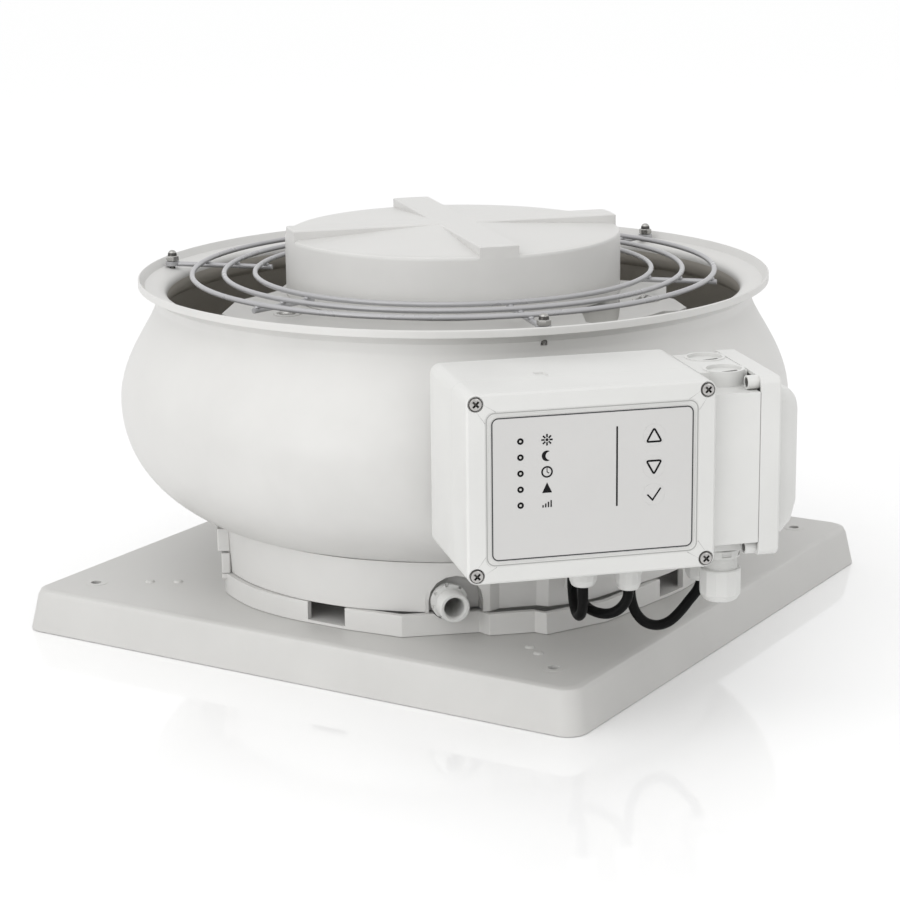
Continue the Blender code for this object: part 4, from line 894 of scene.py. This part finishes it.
def make_cap():
    low = BRIDGE_TOP + GAP
    outline = [
        (CAP_R, low), (CAP_R, CAP_EDGE_Z - 0.0035), (CAP_R - 0.0011, CAP_EDGE_Z - 0.0009),
        (CAP_R - 0.0038, CAP_EDGE_Z + 0.0003), (CAP_MID_R, CAP_MID_Z), (0.0, CAP_MID_Z),
        (0.0, CAP_MID_Z - CAP_WALL), (CAP_MID_R, CAP_MID_Z - CAP_WALL),
        (CAP_R - 0.0055, CAP_EDGE_Z - 0.0028), (CAP_R - CAP_WALL, CAP_EDGE_Z - 0.0055),
        (CAP_R - CAP_WALL, low),
    ]
    cap = turned("motor_cap", outline, CASING_PLASTIC, fan_axis)
    reach = CAP_R - 0.0006
    half = CAP_RIB_HALF
    arm = math.sqrt(reach ** 2 - half ** 2)
    cross = []
    for quarter in range(4):
        turn = Matrix.Rotation(math.radians(90.0 * quarter), 2)
        for x, y in ((half, -half), (arm, -half), (reach, 0.0), (arm, half)):
            cross.append(tuple(turn @ Vector((x, y))))
    levels = [(cross, CAP_EDGE_Z - 0.0046), (cross, CAP_RIB_Z - 0.0008), (shrunk(cross, 0.0008), CAP_RIB_Z)]
    fuse(cap, stacked_bmesh(levels), fan_axis, turn=(0.0, 0.0, CAP_RIB_ANGLE))
    soften(cap, 0.0012, 3)


# ---- wire guard


def make_guard():
    for name, radius in RING_RADII.items():
        turned(name, disc(WIRE_R, (radius, RING_Z), WIRE_SIDES), GUARD_WIRE, fan_axis)
    for i in range(6):
        angle = ROD_FIRST_ANGLE + 60.0 * i
        long_rod = i % 2 == 0
        reach = STUD_CIRCLE_R - 0.004 if long_rod else ROD_OUTER_R
        bm = prism(disc(WIRE_R, (0.0, ROD_Z), WIRE_SIDES), ROD_INNER_R, reach)
        bm.transform(LAID_ALONG_X)
        rod = finish_mesh(f"guard_rod_{i + 1}", bm, GUARD_WIRE, fan_axis, turn=(0.0, 0.0, angle))
        if long_rod:
            eye_low = ROD_Z - 0.0014
            eye = rods_bmesh([(STUD_CIRCLE_R, 0.0, ROD_EYE_R)], eye_low, EYE_TOP, 40)
            fuse(rod, eye, fan_axis, turn=(0.0, 0.0, angle))
            hole = rods_bmesh([(STUD_CIRCLE_R, 0.0, STUD_HOLE_R)], eye_low - PAST, ROD_Z + PAST, 32)
            cut(rod, hole, fan_axis, turn=(0.0, 0.0, angle))
    make_guard_nuts()


def make_guard_nuts():
    """An acorn nut on a threaded stud that goes down through the casing's rim."""
    low = EYE_TOP + GAP
    dome = [(0.0, STUD_LOW_Z)]
    for i in range(5):
        thread = STUD_LOW_Z + 0.0007 * i
        dome += [(STUD_R - 0.0003, thread + 0.00005), (STUD_R, thread + 0.0003)]
    dome += [(STUD_R, low), (0.0049, low), (0.0049, low + 0.004)]
    dome += bezier((0.0041, low + 0.0046), (0.0041, low + 0.0078), (0.0026, low + 0.0096),
                   (0.0, low + 0.0096), 6)
    for i in range(3):
        angle = ROD_FIRST_ANGLE + 120.0 * i
        place = (*around(STUD_CIRCLE_R, angle), 0.0)
        nut = turned(f"guard_nut_{i + 1}", dome, STAINLESS, fan_axis, 32, place)
        hexagon = disc(0.0058, steps=6)
        narrow = disc(0.0051, steps=6)
        flats = stacked_bmesh([(hexagon, low + 0.0003), (hexagon, low + 0.004), (narrow, low + 0.0045)])
        fuse(nut, flats, fan_axis, place, (0.0, 0.0, angle))
        # painted dark reflection: a band low on the nut's dome gets near-black steel
        dress_faces(nut, STEEL_DARK_REFLECTION, lambda centre, normal: low + 0.0047 < centre.z < low + 0.007)
        # painted shade: the stud below the nut gets a darker steel
        dress_faces(nut, STUD_PAINTED_SHADE, lambda centre, normal: centre.z < low and abs(normal.z) < 0.9)


def make_welds():
    """A bead of weld wherever a ring crosses a rod."""
    for i in range(6):
        for name, radius in RING_RADII.items():
            if i % 2 == 1 and radius > ROD_OUTER_R:
                continue
            bm = bmesh.new()
            bmesh.ops.create_uvsphere(bm, u_segments=16, v_segments=8, radius=WELD_R)
            bm.transform(Matrix.Diagonal((1.0, 1.1, 0.62, 1.0)))
            x, y = around(radius, ROD_FIRST_ANGLE + 60.0 * i)
            finish_mesh(f"weld_{name}_{i + 1}", bm, GUARD_WIRE, fan_axis, (x, y, 0.5 * (RING_Z + ROD_Z)))


# ---- control box


def box_outline(shrink, radius=BOX_CORNER_R):
    return rounded_rect(BOX_HALF_T - shrink, BOX_HALF_Z - shrink, radius, BOX_MID, 10)


GLANDS = {
    # name: (d, t, nut radius, foot height, wall's lower face)
    "gland_motor": (0.345, 0.0154, 0.0107, 0.109, BOX_MID_Z - BOX_HALF_Z),
    "gland_sensor": (0.345, 0.051, 0.0098, 0.1035, BOX_MID_Z - BOX_HALF_Z),
    "gland_link": (0.318, 0.061, 0.01, 0.1045, BOX_MID_Z - BOX_HALF_Z),
    "gland_isolator": (0.315, 0.119, 0.0125, 0.0975, ISO_LOW_Z),
    "gland_supply": (0.359, 0.119, 0.0157, 0.0943, ISO_LOW_Z),
}


def gland_holes(wall_z):
    return [(d, t, 0.62 * nut + 2.0 * GAP) for d, t, nut, _, wall in GLANDS.values() if wall == wall_z]


def threaded(radius, low, high, pitch=0.0011, depth=0.0005):
    """Outline points that run up a threaded length."""
    count = max(1, round((high - low) / pitch))
    points = []
    for i in range(count):
        start = low + (high - low) * i / count
        points += [(radius, start + 0.25 * pitch), (radius - depth, start + 0.75 * pitch)]
    return points


def make_glands():
    """Each gland: an inner nut, a notched lock ring, a threaded neck and a cap nut with twelve flats."""
    for name, (d, t, nut, foot, wall) in GLANDS.items():
        neck = 0.62 * nut
        ring_high, ring_low, nut_high = wall - 0.1 * nut, wall - 0.52 * nut, wall - 1.08 * nut
        body = [
            (0.0, foot + 0.0025), (0.6 * nut, foot + 0.0025), (0.62 * nut, foot), (0.72 * nut, foot),
            (0.84 * nut, foot + 0.0012), (0.91 * nut, foot + 0.0032), (0.91 * nut, nut_high - 0.0006),
        ]
        body += threaded(0.82 * nut, nut_high - 0.0002, ring_low - 0.0002)
        body += [
            (0.84 * nut, ring_low), (0.92 * nut, ring_low + 0.0004), (0.92 * nut, ring_high - 0.0004),
            (0.88 * nut, ring_high), (neck, ring_high), (neck, wall + 0.0036), (0.8 * nut, wall + 0.0036),
            (0.8 * nut, wall + 0.008), (0.0, wall + 0.008),
        ]
        item = turned(name, body, GLAND_PLASTIC, panel_frame, 48, (d, t, 0.0), edge=0.0003)
        low = foot + 0.0036
        lands = [(disc(reach * nut, steps=12), z) for reach, z in (
            (0.93, low), (1.0, low + 0.0016), (1.0, nut_high - 0.001), (0.96, nut_high))]
        fuse(item, stacked_bmesh(lands), panel_frame, (d, t, 0.0))
        notches = notches_bmesh(6, 0.1 * nut, 0.24 * nut, 0.0004, 0.94 * nut, ring_low + 0.12 * nut,
                                ring_high - 0.1 * nut)
        cut(item, notches, panel_frame, (d, t, 0.0))
        soften(item, 0.0003)


def make_control_box():
    base_levels = [
        (box_outline(BOX_WALL, 0.006), BOX_BACK_D + BOX_WALL),
        (box_outline(BOX_WALL, 0.006), BOX_SEAM_D - GAP),
        (box_outline(0.0), BOX_SEAM_D - GAP),
        (box_outline(0.0), BOX_BACK_D + 0.0015),
        (box_outline(0.0015), BOX_BACK_D),
    ]
    base = stacked("control_box_base", base_levels, BOX_PLASTIC, face_frame)
    floor_z = BOX_MID_Z - BOX_HALF_Z
    drill(base, gland_holes(floor_z), floor_z - PAST, floor_z + PAST, panel_frame)
    recess = rounded_rect(PANEL_HALF_T + RECESS_MARGIN, PANEL_HALF_Z + RECESS_MARGIN, 0.0065, BOX_MID, 10)
    step = rounded_rect(PANEL_HALF_T + RECESS_STEP, PANEL_HALF_Z + RECESS_STEP, 0.0055, BOX_MID, 10)
    lid_levels = [
        (box_outline(BOX_WALL, 0.006), BOX_FRONT_D - 0.0042),
        (box_outline(BOX_WALL, 0.006), BOX_SEAM_D),
        (box_outline(0.0), BOX_SEAM_D),
        (box_outline(0.0), BOX_FRONT_D - FRAME_FALL - 0.0016),
        (box_outline(0.0016), BOX_FRONT_D - FRAME_FALL),
        (recess, BOX_FRONT_D),
        (recess, BOX_FRONT_D - 0.5 * RECESS_DEPTH),
        (step, BOX_FRONT_D - 0.5 * RECESS_DEPTH),
        (step, BOX_FRONT_D - RECESS_DEPTH),
    ]
    lid = stacked("control_box_lid", lid_levels, BOX_PLASTIC, face_frame)
    wells = [(KEY_T, height, KEY_R + 0.0006) for height in KEY_HEIGHTS.values()]
    wells += [(t, z, LID_SCREW_R + GAP) for t, z in screw_places()]
    drill(lid, wells, 0.39, 0.42, face_frame)
    drill(lid, [(t, z, LID_SEAT_R) for t, z in screw_places()], SCREW_SEAT_D, 0.42, face_frame)


def screw_places():
    reach_t = BOX_HALF_T - BOX_SCREW_INSET
    reach_z = BOX_HALF_Z - BOX_SCREW_INSET
    corners = ((-1, -1), (1, -1), (1, 1), (-1, 1))
    return [(BOX_MID_T + a * reach_t, BOX_MID_Z + b * reach_z) for a, b in corners]


def cut_cross(item, radius, low, high, parent, location):
    """A cross recess in a screw's head."""
    for turn in (45.0, 135.0):
        arm = stacked_bmesh([(rounded_rect(0.6 * radius, 0.16 * radius, 0.05 * radius), low),
                             (rounded_rect(1.0 * radius, 0.26 * radius, 0.08 * radius), high)])
        cut(item, arm, parent, location, (0.0, 0.0, turn))


def make_lid_screws():
    seat = SCREW_SEAT_D + GAP
    outline = [(0.0, 0.368), (0.002, 0.368), (0.002, seat), (0.0052, seat), (0.0052, seat + 0.0008)]
    outline += bezier((0.005, seat + 0.0012), (0.0042, seat + 0.002), (0.0024, seat + 0.0024),
                      (0.0, seat + 0.0024), 5)
    for number, (t, z) in enumerate(screw_places(), 1):
        screw = turned(f"lid_screw_{number}", outline, SCREW_STEEL, face_frame, 40, (t, z, 0.0))
        cut_cross(screw, 0.0033, seat - 0.0004, seat + 0.003, face_frame, (t, z, 0.0))
        # painted dark reflection: the head's rim, sides and underside get near-black steel
        dress_faces(screw, STEEL_DARK_REFLECTION, lambda centre, normal: centre.xy.length > 0.004
                    or abs(normal.z) < 0.6 or centre.z < seat + 0.0008)


def make_corner_lines():
    """Thin dark strips on the lid that paint the shade of fine moulded creases: from the recess's corners to
    each screw's seat, and round the recess's edge.
    """
    for number, (t, z) in enumerate(screw_places(), 1):
        side_t = 1.0 if t > BOX_MID_T else -1.0
        side_z = 1.0 if z > BOX_MID_Z else -1.0
        reach_t = PANEL_HALF_T + RECESS_MARGIN
        reach_z = PANEL_HALF_Z + RECESS_MARGIN
        bm = bmesh.new()
        for out_t, out_z, foot_t, foot_z in ((0.001, 0.0062, reach_t, reach_z - 0.008),
                                             (0.0062, 0.001, reach_t - 0.008, reach_z)):
            start = Vector((BOX_MID_T + side_t * foot_t, BOX_MID_Z + side_z * foot_z, BOX_FRONT_D))
            end = Vector((t - side_t * out_t, z - side_z * out_z, BOX_FRONT_D - 0.62 * FRAME_FALL))
            along = (end - start).normalized()
            side = Vector((-along.y, along.x, 0.0)) * 0.00035
            lift = Vector((0.0, 0.0, 0.00022))
            ring = [[bm.verts.new(point + offset) for offset in (-side - lift, side - lift, lift)]
                    for point in (start, end)]
            for a, b in ((0, 1), (1, 2), (2, 0)):
                bm.faces.new((ring[0][a], ring[0][b], ring[1][b], ring[1][a]))
            bm.faces.new(ring[0])
            bm.faces.new(ring[1][::-1])
        finish_mesh(f"lid_corner_line_{number}", bm, CREASE_SHADE_STRIP, face_frame)
    margin = 0.5 * (RECESS_STEP + RECESS_MARGIN)
    step = rounded_rect(PANEL_HALF_T + margin, PANEL_HALF_Z + margin, 0.006, BOX_MID, 8)
    # painted shade along the recess's outer step
    line = printed("lid_recess_line", ring_strokes(step, 0.0004), finish=CREASE_SHADE_STRIP)
    line.location.z = BOX_FRONT_D - 0.5 * RECESS_DEPTH - FILM_TOP


def make_latch_pocket():
    """The small pocket on top of the box, behind the lid's seam."""
    base = bpy.data.objects["control_box_base_skin"]
    top = BOX_MID_Z + BOX_HALF_Z
    pocket = stacked_bmesh([(rounded_rect(0.007, 0.0042, 0.0008), top - 0.0016),
                            (rounded_rect(0.0074, 0.0048, 0.001), top + 0.001)])
    cut(base, pocket, panel_frame, (0.352, -0.019, 0.0))


def make_boss_shadows():
    """A dark wedge on each of the isolator's two blanking plugs: painted shadow in the dish of its recess.
    """
    top = ISO_HIGH_Z - 0.0018
    for number, d in enumerate(ISO_BOSSES, 1):
        # outline of the painted shadow on the plug's floor
        slot = [(d + 0.0022, ISO_BOSS_T - 0.006), (d + 0.005, ISO_BOSS_T + 0.0105),
                (d - 0.0018, ISO_BOSS_T + 0.0105)]
        finish_mesh(f"boss_slot_{number}", prism(slot, top - 0.0002, top + 0.0002), DISH_SHADOW, panel_frame)


def make_panel():
    back = BOX_FRONT_D - RECESS_DEPTH + GAP
    outline = rounded_rect(PANEL_HALF_T, PANEL_HALF_Z, 0.005, BOX_MID, 8)
    levels = [(outline, back), (outline, FILM_TOP)]
    panel = stacked("membrane_panel", levels, PANEL_FILM, face_frame, edge=0.0001)
    holes = [(KEY_T, height, KEY_R + 0.00004) for height in KEY_HEIGHTS.values()]
    drill(panel, holes, 0.39, 0.42, face_frame, 96)
    key = [
        (0.0, 0.3996), (0.003, 0.3996), (0.003, 0.405), (KEY_R, 0.4056), (KEY_R, FILM_TOP), (0.0, FILM_TOP),
    ]
    for name, height in KEY_HEIGHTS.items():
        turned(name, key, PANEL_FILM, face_frame, 96, (KEY_T, height, 0.0), edge=0.00001)
    make_print()


# ---- the panel's print


def printed(name, polygons, body="fan_frame", finish=None, rise=FILM_STEP):
    """Flat shapes on the film, of ink or of painted shade: each polygon is a list of (t, z) points."""
    shapes = [prism(polygon, FILM_TOP - 0.00005, FILM_TOP + rise) for polygon in polygons]
    item = new_object(name, join_bmeshes(shapes), finish or PRINT_INK, face_frame)
    pieces.append((item, body))
    return item


def stroke(start, end, half=PRINT_LINE):
    """One straight printed line."""
    a, b = Vector(start), Vector(end)
    along = (b - a).normalized() * half
    side = Vector((-along.y, along.x))
    corners = (a - along - side, b + along - side, b + along + side, a - along + side)
    return [tuple(corner) for corner in corners]


def ring_strokes(outline, half):
    """A closed printed line that follows an outline, as one quad for each side."""
    outer = shrunk(outline, -half)
    inner = shrunk(outline, half)
    count = len(outline)
    return [[outer[i], outer[(i + 1) % count], inner[(i + 1) % count], inner[i]] for i in range(count)]


def crescent(mid_t, mid_z, radius):
    """Outline of a waning moon, open to the right."""
    points = []
    for i in range(17):
        angle = math.radians(60.0 + 240.0 * i / 16)
        points.append((mid_t + radius * math.cos(angle), mid_z + radius * math.sin(angle)))
    for i in range(13):
        angle = math.radians(258.0 - 156.0 * i / 12)
        points.append((mid_t + 0.55 * radius + 0.82 * radius * math.cos(angle),
                       mid_z + 0.82 * radius * math.sin(angle)))
    return points


def make_print():
    border = rounded_rect(PANEL_HALF_T - 0.0005, PANEL_HALF_Z - 0.0005, 0.0045, BOX_MID, 8)
    printed("print_border", ring_strokes(border, 0.00045), finish=BORDER_INK)
    divider_t, divider_low, divider_high = DIVIDER
    printed("print_divider", [stroke((divider_t, divider_low), (divider_t, divider_high), 0.00062)])
    for number, z in enumerate(ROW_HEIGHTS, 1):
        printed(f"led_ring_{number}", ring_strokes(disc(0.0016, (LED_T, z), 24), 0.0008))
        printed(f"led_lens_{number}", [disc(0.001, (LED_T, z), 20)], finish=LENS)
    sun_z, moon_z, clock_z, level_z, signal_z = ROW_HEIGHTS
    rays = []
    for i in range(8):
        a, b = around(0.0024, 45.0 * i), around(0.0036, 45.0 * i)
        rays.append(stroke((ICON_T + a[0], sun_z + a[1]), (ICON_T + b[0], sun_z + b[1]), 0.0006))
    printed("icon_sun", [disc(0.0011, (ICON_T, sun_z), 20)] + rays)
    printed("icon_moon", [crescent(ICON_T, moon_z, 0.0039)])
    hands = [stroke((ICON_T, clock_z), (ICON_T, clock_z + 0.0026), 0.0003),
             stroke((ICON_T, clock_z), (ICON_T + 0.0013, clock_z - 0.0009), 0.0003)]
    printed("icon_clock", ring_strokes(disc(0.0037, (ICON_T, clock_z), 32), 0.0006) + hands)
    printed("icon_level", [[(ICON_T - 0.0037, level_z - 0.0036), (ICON_T + 0.0037, level_z - 0.0036),
                            (ICON_T, level_z + 0.004)]])
    bars = []
    for i in range(4):
        bar_t = ICON_T - 0.003 + 0.002 * i
        bars.append(stroke((bar_t, signal_z - 0.0022), (bar_t, signal_z - 0.0014 + 0.0011 * i), 0.0005))
    printed("icon_signal", bars)
    up, down, enter = KEY_HEIGHTS.values()
    triangle = [Vector(point) for point in ((-0.0056, -0.0048), (0.0056, -0.0048), (0.0, 0.0052))]
    raised = filleted([Vector((KEY_T, up)) + point for point in triangle], 0.001, 4)
    lowered = filleted([Vector((KEY_T, down)) - point for point in triangle], 0.001, 4)
    printed("icon_up", ring_strokes(raised, 0.0007), "key_up")
    printed("icon_down", ring_strokes(lowered, 0.0007), "key_down")
    tick = [(-0.0044, -0.0004), (-0.0009, -0.0042), (0.0049, 0.004)]
    tick = [(KEY_T + x, enter + z) for x, z in tick]
    printed("icon_enter", [stroke(tick[0], tick[1], 0.0006), stroke(tick[1], tick[2], 0.0006)], "key_enter")


# ---- isolator


def isolator_outline():
    """The isolator's body seen along t, as (-d, z): shoulders at the corners, a neck for the entries."""
    far, near = -ISO_BACK_D, -ISO_FRONT_D
    neck_far, neck_near, top_near = -ISO_NECK_D[0], -ISO_NECK_D[1], -ISO_TOP_NEAR_D
    low, high = ISO_LOW_Z + ISO_SHOULDER, ISO_HIGH_Z - ISO_SHOULDER
    return [
        (far, low), (far, high), (neck_far, high), (neck_far, ISO_HIGH_Z), (top_near, ISO_HIGH_Z),
        (top_near, high), (near, high), (near, low), (neck_near, low), (neck_near, ISO_LOW_Z),
        (neck_far, ISO_LOW_Z), (neck_far, low),
    ]


def lug_heights():
    """The screw lugs sit in the two corners above and below the isolator's shoulders."""
    return ISO_HIGH_Z - ISO_SHOULDER + ISO_LUG_R + GAP, ISO_LOW_Z + ISO_SHOULDER - ISO_LUG_R - GAP


def lid_loop(shrink_d, low, high, radius):
    mid_z = 0.5 * (low + high)
    half_d = 0.5 * (ISO_FRONT_D - ISO_BACK_D) - shrink_d
    return rounded_rect(half_d, 0.5 * (high - low), radius, (-ISO_MID_D, mid_z), 10)


def make_isolator():
    outer = isolator_outline()
    inner = shrunk(outer, ISO_WALL)
    base_levels = [
        (inner, ISO_START_T + ISO_WALL), (inner, ISO_SEAM_T), (outer, ISO_SEAM_T), (outer, ISO_START_T),
    ]
    base = stacked("isolator_base", base_levels, BOX_PLASTIC, isolator_frame)
    drill(base, gland_holes(ISO_LOW_Z), ISO_LOW_Z - PAST, ISO_LOW_Z + PAST, panel_frame)
    bosses = rods_bmesh([(d, ISO_BOSS_T, ISO_BOSS_R) for d in ISO_BOSSES], ISO_HIGH_Z - ISO_SHOULDER,
                        ISO_HIGH_Z + 0.0008, 72)
    fuse(base, bosses, panel_frame)
    blanks = [(d, ISO_BOSS_T, ISO_BOSS_R - 0.0022) for d in ISO_BOSSES]
    drill(base, blanks, ISO_HIGH_Z - 0.0018, ISO_HIGH_Z + PAST, panel_frame, 72)
    low, high = ISO_LOW_Z - 0.0004, ISO_HIGH_Z + 0.0003
    seam = ISO_SEAM_T + GAP
    rows = (
        # inset along d, low z, high z, corner radius, t
        (0.003, low + 0.003, high - 0.003, 0.004, ISO_LID_T - 0.003),
        (0.003, low + 0.003, high - 0.003, 0.004, seam),
        (0.0, low, high, 0.006, seam),
        (0.0, low, high, 0.006, ISO_LID_T - 0.0015),
        (0.0015, low + 0.0015, high - 0.0015, 0.005, ISO_LID_T),
        (0.0115, 0.1455, 0.259, 0.009, ISO_LID_T),
        (0.0125, 0.148, 0.258, 0.01, 0.16),
        (0.015, 0.154, 0.256, 0.011, 0.167),
        (0.019, 0.163, 0.252, 0.012, 0.1715),
        (0.024, 0.175, 0.246, 0.012, ISO_CREST_T),
    )
    levels = [(lid_loop(inset, bottom, top, radius), t) for inset, bottom, top, radius, t in rows]
    lid = stacked("isolator_lid", levels, BOX_PLASTIC, isolator_frame)
    lugs = rods_bmesh([(-ISO_LUG_D, z, ISO_LUG_R) for z in lug_heights()], ISO_LUG_T, seam + 0.001)
    fuse(lid, lugs, isolator_frame)
    heads = [(-ISO_LUG_D, z, ISO_HEAD_R) for z in lug_heights()]
    drill(lid, heads, 0.12, ISO_LUG_T + 0.0055, isolator_frame)
    drill(lid, [(*KNOB_MID, KNOB_R + 0.0012)], 0.1575, 0.19, isolator_frame, 64)
    drill(lid, [(*KNOB_MID, SPINDLE_HOLE_R)], 0.14, 0.17, isolator_frame)
    make_isolator_switch()


def make_isolator_switch():
    knob = [
        (0.0, 0.1482), (0.004, 0.1482), (0.004, 0.1585), (KNOB_R, 0.1585), (KNOB_R, 0.1645),
        (KNOB_R - 0.001, 0.1655), (0.0, 0.1655),
    ]
    item = turned("isolator_knob", knob, KNOB_PLASTIC, knob_frame, 64)
    grip = stacked_bmesh([(rounded_rect(0.0045, 0.0195, 0.003), 0.164),
                          (rounded_rect(0.0038, 0.0185, 0.003), 0.1735)])
    fuse(item, grip, knob_frame)
    block = rounded_rect(0.021, 0.023, 0.002, KNOB_MID)
    levels = [(block, ISO_START_T + ISO_WALL + GAP), (block, 0.1476)]
    stacked("isolator_switch", levels, KNOB_PLASTIC, isolator_frame)
    high = ISO_LUG_T + 0.0055 - GAP
    screw = [
        (0.0, ISO_LUG_T - 0.0002), (0.0031, ISO_LUG_T + 0.0002), (0.0035, ISO_LUG_T + 0.0012),
        (0.0035, high), (0.0, high),
    ]
    for number, z in enumerate(lug_heights(), 1):
        place = (-ISO_LUG_D, z, 0.0)
        # painted dark reflection: these screws are near-black steel all over
        turned(f"isolator_screw_{number}", screw, STEEL_DARK_REFLECTION, isolator_frame, SMALL_ROUND, place)


# ---- stage


def make_stage():
    """A white studio: a floor that the frame shows nothing past, an even sky and three soft lights."""
    bm = bmesh.new()
    bmesh.ops.create_grid(bm, x_segments=1, y_segments=1, size=40.0)
    floor = new_object("studio_floor", bm, FLOOR, None, (0.0, 0.0, -0.0004))
    world = bpy.data.worlds.new("studio")
    world.use_nodes = True
    world.node_tree.nodes["Background"].inputs["Color"].default_value = (1.0, 1.0, 1.0, 1.0)
    world.node_tree.nodes["Background"].inputs["Strength"].default_value = WORLD_LIGHT
    bpy.context.scene.world = world
    bpy.context.scene.view_settings.view_transform = "Standard"
    for name, kind, place, aim, size, power in LIGHTS:
        data = bpy.data.lights.new(name, kind)
        data.energy = power
        if kind == "AREA":
            data.shape = "DISK"
            data.size = size
        else:
            data.angle = math.radians(size)
        light = add_object(name, data)
        light.location = place
        light.visible_camera = False
        light.rotation_euler = (Vector(aim) - Vector(place)).to_track_quat("-Z", "Y").to_euler()


# ---- assembly


def finish_piece(item, body):
    """Shade a piece smoothly up to its real edges, and hand it to its body, its place in its mesh."""
    item.data.shade_smooth()
    item.data.set_sharp_from_angle(angle=math.radians(36.0))
    flatter = item.modifiers.new("normals", "WEIGHTED_NORMAL")
    flatter.keep_sharp = True
    bake_modifiers(item)
    item.data.transform(item.matrix_world)
    item.parent = None
    item.matrix_world = Matrix.Identity(4)
    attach(item, body)


def dress_frame():
    """Give every CAD piece that still shows its procedural material."""
    for row in frame["record"]["subparts"]:
        node = frame["nodes"][row["node"]]
        if node.hide_render:
            continue
        node.data.materials.clear()
        node.data.materials.append(FINISHES[row["material_slot"]])


STEEL = {"grain": 1800.0, "metallic": 1.0, "brushed": 0.2}
INK = {"mottle": 0.1, "shine": 0.1}
CASING_PLASTIC = grained("casing_plastic", "casing_moulded", (0.62, 0.615, 0.6), 0.4)
# painted shade: a darker grey for the casing's inside and floor, standing in for the shade inside the bowl
CASING_PAINTED_SHADE = grained("casing_plastic", "casing_inner_painted_shade", (0.46, 0.435, 0.39), 0.55, grain=500.0,
                     depth=0.0001)
# painted shade: the tray's grey is set darker than the other mouldings, for the shade that the bowl casts on
# its top
TRAY_SHADED_PLASTIC = grained("tray_plastic", "tray_painted_shade", (0.545, 0.54, 0.525), 0.46, grain=520.0,
                       depth=0.00012)
BRIDGE_PLASTIC = grained("bridge_plastic", "bridge_moulded", (0.52, 0.515, 0.5), 0.5)
# painted shade: a darker grey for the floor of the bridge's recess
BRIDGE_PAINTED_SHADE = grained("bridge_plastic", "bridge_recess_painted_shade", (0.33, 0.325, 0.305), 0.55)
BOX_PLASTIC = grained("box_plastic", "box_moulded", (0.66, 0.66, 0.645), 0.34)
GLAND_PLASTIC = grained("gland_plastic", "gland_moulded", (0.64, 0.64, 0.625), 0.38)
PANEL_FILM = grained("panel_film", "panel_film_grain", (0.575, 0.57, 0.56), 0.36, grain=2400.0,
                     depth=0.00002, mottle=0.01)
KNOB_PLASTIC = grained("knob_plastic", "knob_moulded", (0.3, 0.3, 0.295), 0.42)
IMPELLER_PLASTIC = grained("impeller_plastic", "impeller_moulded", (0.06, 0.056, 0.05), 0.55)
GUARD_WIRE = grained("guard_wire", "guard_coating", (0.42, 0.42, 0.43), 0.3, grain=1500.0, depth=0.00003,
                     metallic=0.25)
STAINLESS = grained("stainless", "stainless_turned", (0.42, 0.415, 0.4), 0.22, **STEEL)
CABLE_RUBBER = grained("cable_rubber", "cable_jacket", (0.005, 0.005, 0.005), 0.42, grain=1400.0,
                       depth=0.00005, mottle=0.2, shine=0.08)
SCREW_STEEL = grained("stainless", "screw_head_turned", (0.46, 0.45, 0.44), 0.24, **STEEL)
# painted dark reflection: near-black steel for parts of polished heads and nuts
STEEL_DARK_REFLECTION = grained("stainless", "steel_painted_dark_reflection", (0.075, 0.072, 0.068), 0.28, grain=1800.0,
                    metallic=0.9, brushed=0.2, shine=0.2)
# painted shade: a darker steel for the studs under the casing's rim
STUD_PAINTED_SHADE = grained("stainless", "stud_painted_shade", (0.17, 0.168, 0.16), 0.26, **STEEL)
# painted shade: a dark grey for thin strips where the lid's creases hold shade
CREASE_SHADE_STRIP = grained("box_plastic", "painted_crease_shade", (0.36, 0.36, 0.35), 0.45)
# painted shadow: near-black for the wedges in the isolator's boss dishes
DISH_SHADOW = grained("box_plastic", "painted_dish_shadow", (0.1, 0.098, 0.09), 0.6)
PRINT_INK = grained("panel_film", "print_ink", (0.008, 0.008, 0.009), 0.55, **INK)
BORDER_INK = grained("panel_film", "border_ink", (0.055, 0.055, 0.058), 0.55, **INK)
LENS = grained("panel_film", "led_lens_clear", (0.55, 0.55, 0.52), 0.15, spread=0.03)
FLOOR = grained(None, "floor_gloss", (0.97, 0.97, 0.97), 0.06, grain=30.0, depth=0.0, mottle=0.0,
                spread=0.01)

# Finishes that only bare CAD pieces show
grained("zinc_sheet", "zinc_spangle", (0.46, 0.47, 0.48), 0.42, grain=160.0, depth=0.00003, mottle=0.12,
        metallic=0.9)
grained("motor_metal", "motor_cast", (0.2, 0.2, 0.2), 0.55, grain=420.0, depth=0.0001, metallic=0.6)
grained("seal_foam", "seal_foam_cells", (0.035, 0.035, 0.035), 0.92, grain=700.0, depth=0.0005, mottle=0.2)
grained("board", "board_lacquer", (0.02, 0.12, 0.05), 0.35, mottle=0.1)

fan_axis = make_frame("fan_axis")
panel_frame = make_frame("panel_frame", fan_axis, turn=(0.0, 0.0, PANEL_ANGLE))
face_frame = make_frame("face_frame", panel_frame, turn=(90.0, 0.0, 90.0))           # x = t, y = z, z = d
isolator_frame = make_frame("isolator_frame", panel_frame, turn=(90.0, 0.0, 180.0))  # x = -d, y = z, z = t
knob_frame = make_frame("knob_frame", isolator_frame, (*KNOB_MID, 0.0))

make_camera()
make_leads()
make_base_tray()
make_collar()
make_skirt()
make_spigot()
make_casing()
make_bridge()
make_bridge_screws()
make_impeller()
make_cap()
make_guard()
make_welds()
make_glands()
make_control_box()
make_latch_pocket()
make_lid_screws()
make_corner_lines()
make_panel()
make_isolator()
make_boss_shadows()
bpy.context.view_layer.update()
for item, body in pieces:
    finish_piece(item, body)
# painted shade on the casing's inside and floor
dress_faces(bpy.data.objects["bowl_casing_skin"], CASING_PAINTED_SHADE, is_casing_shade_face)
# painted shade on the floor of the bridge's recess
dress_faces(bpy.data.objects["motor_bridge_skin"], BRIDGE_PAINTED_SHADE, is_recess_floor)
dress_frame()
make_stage()
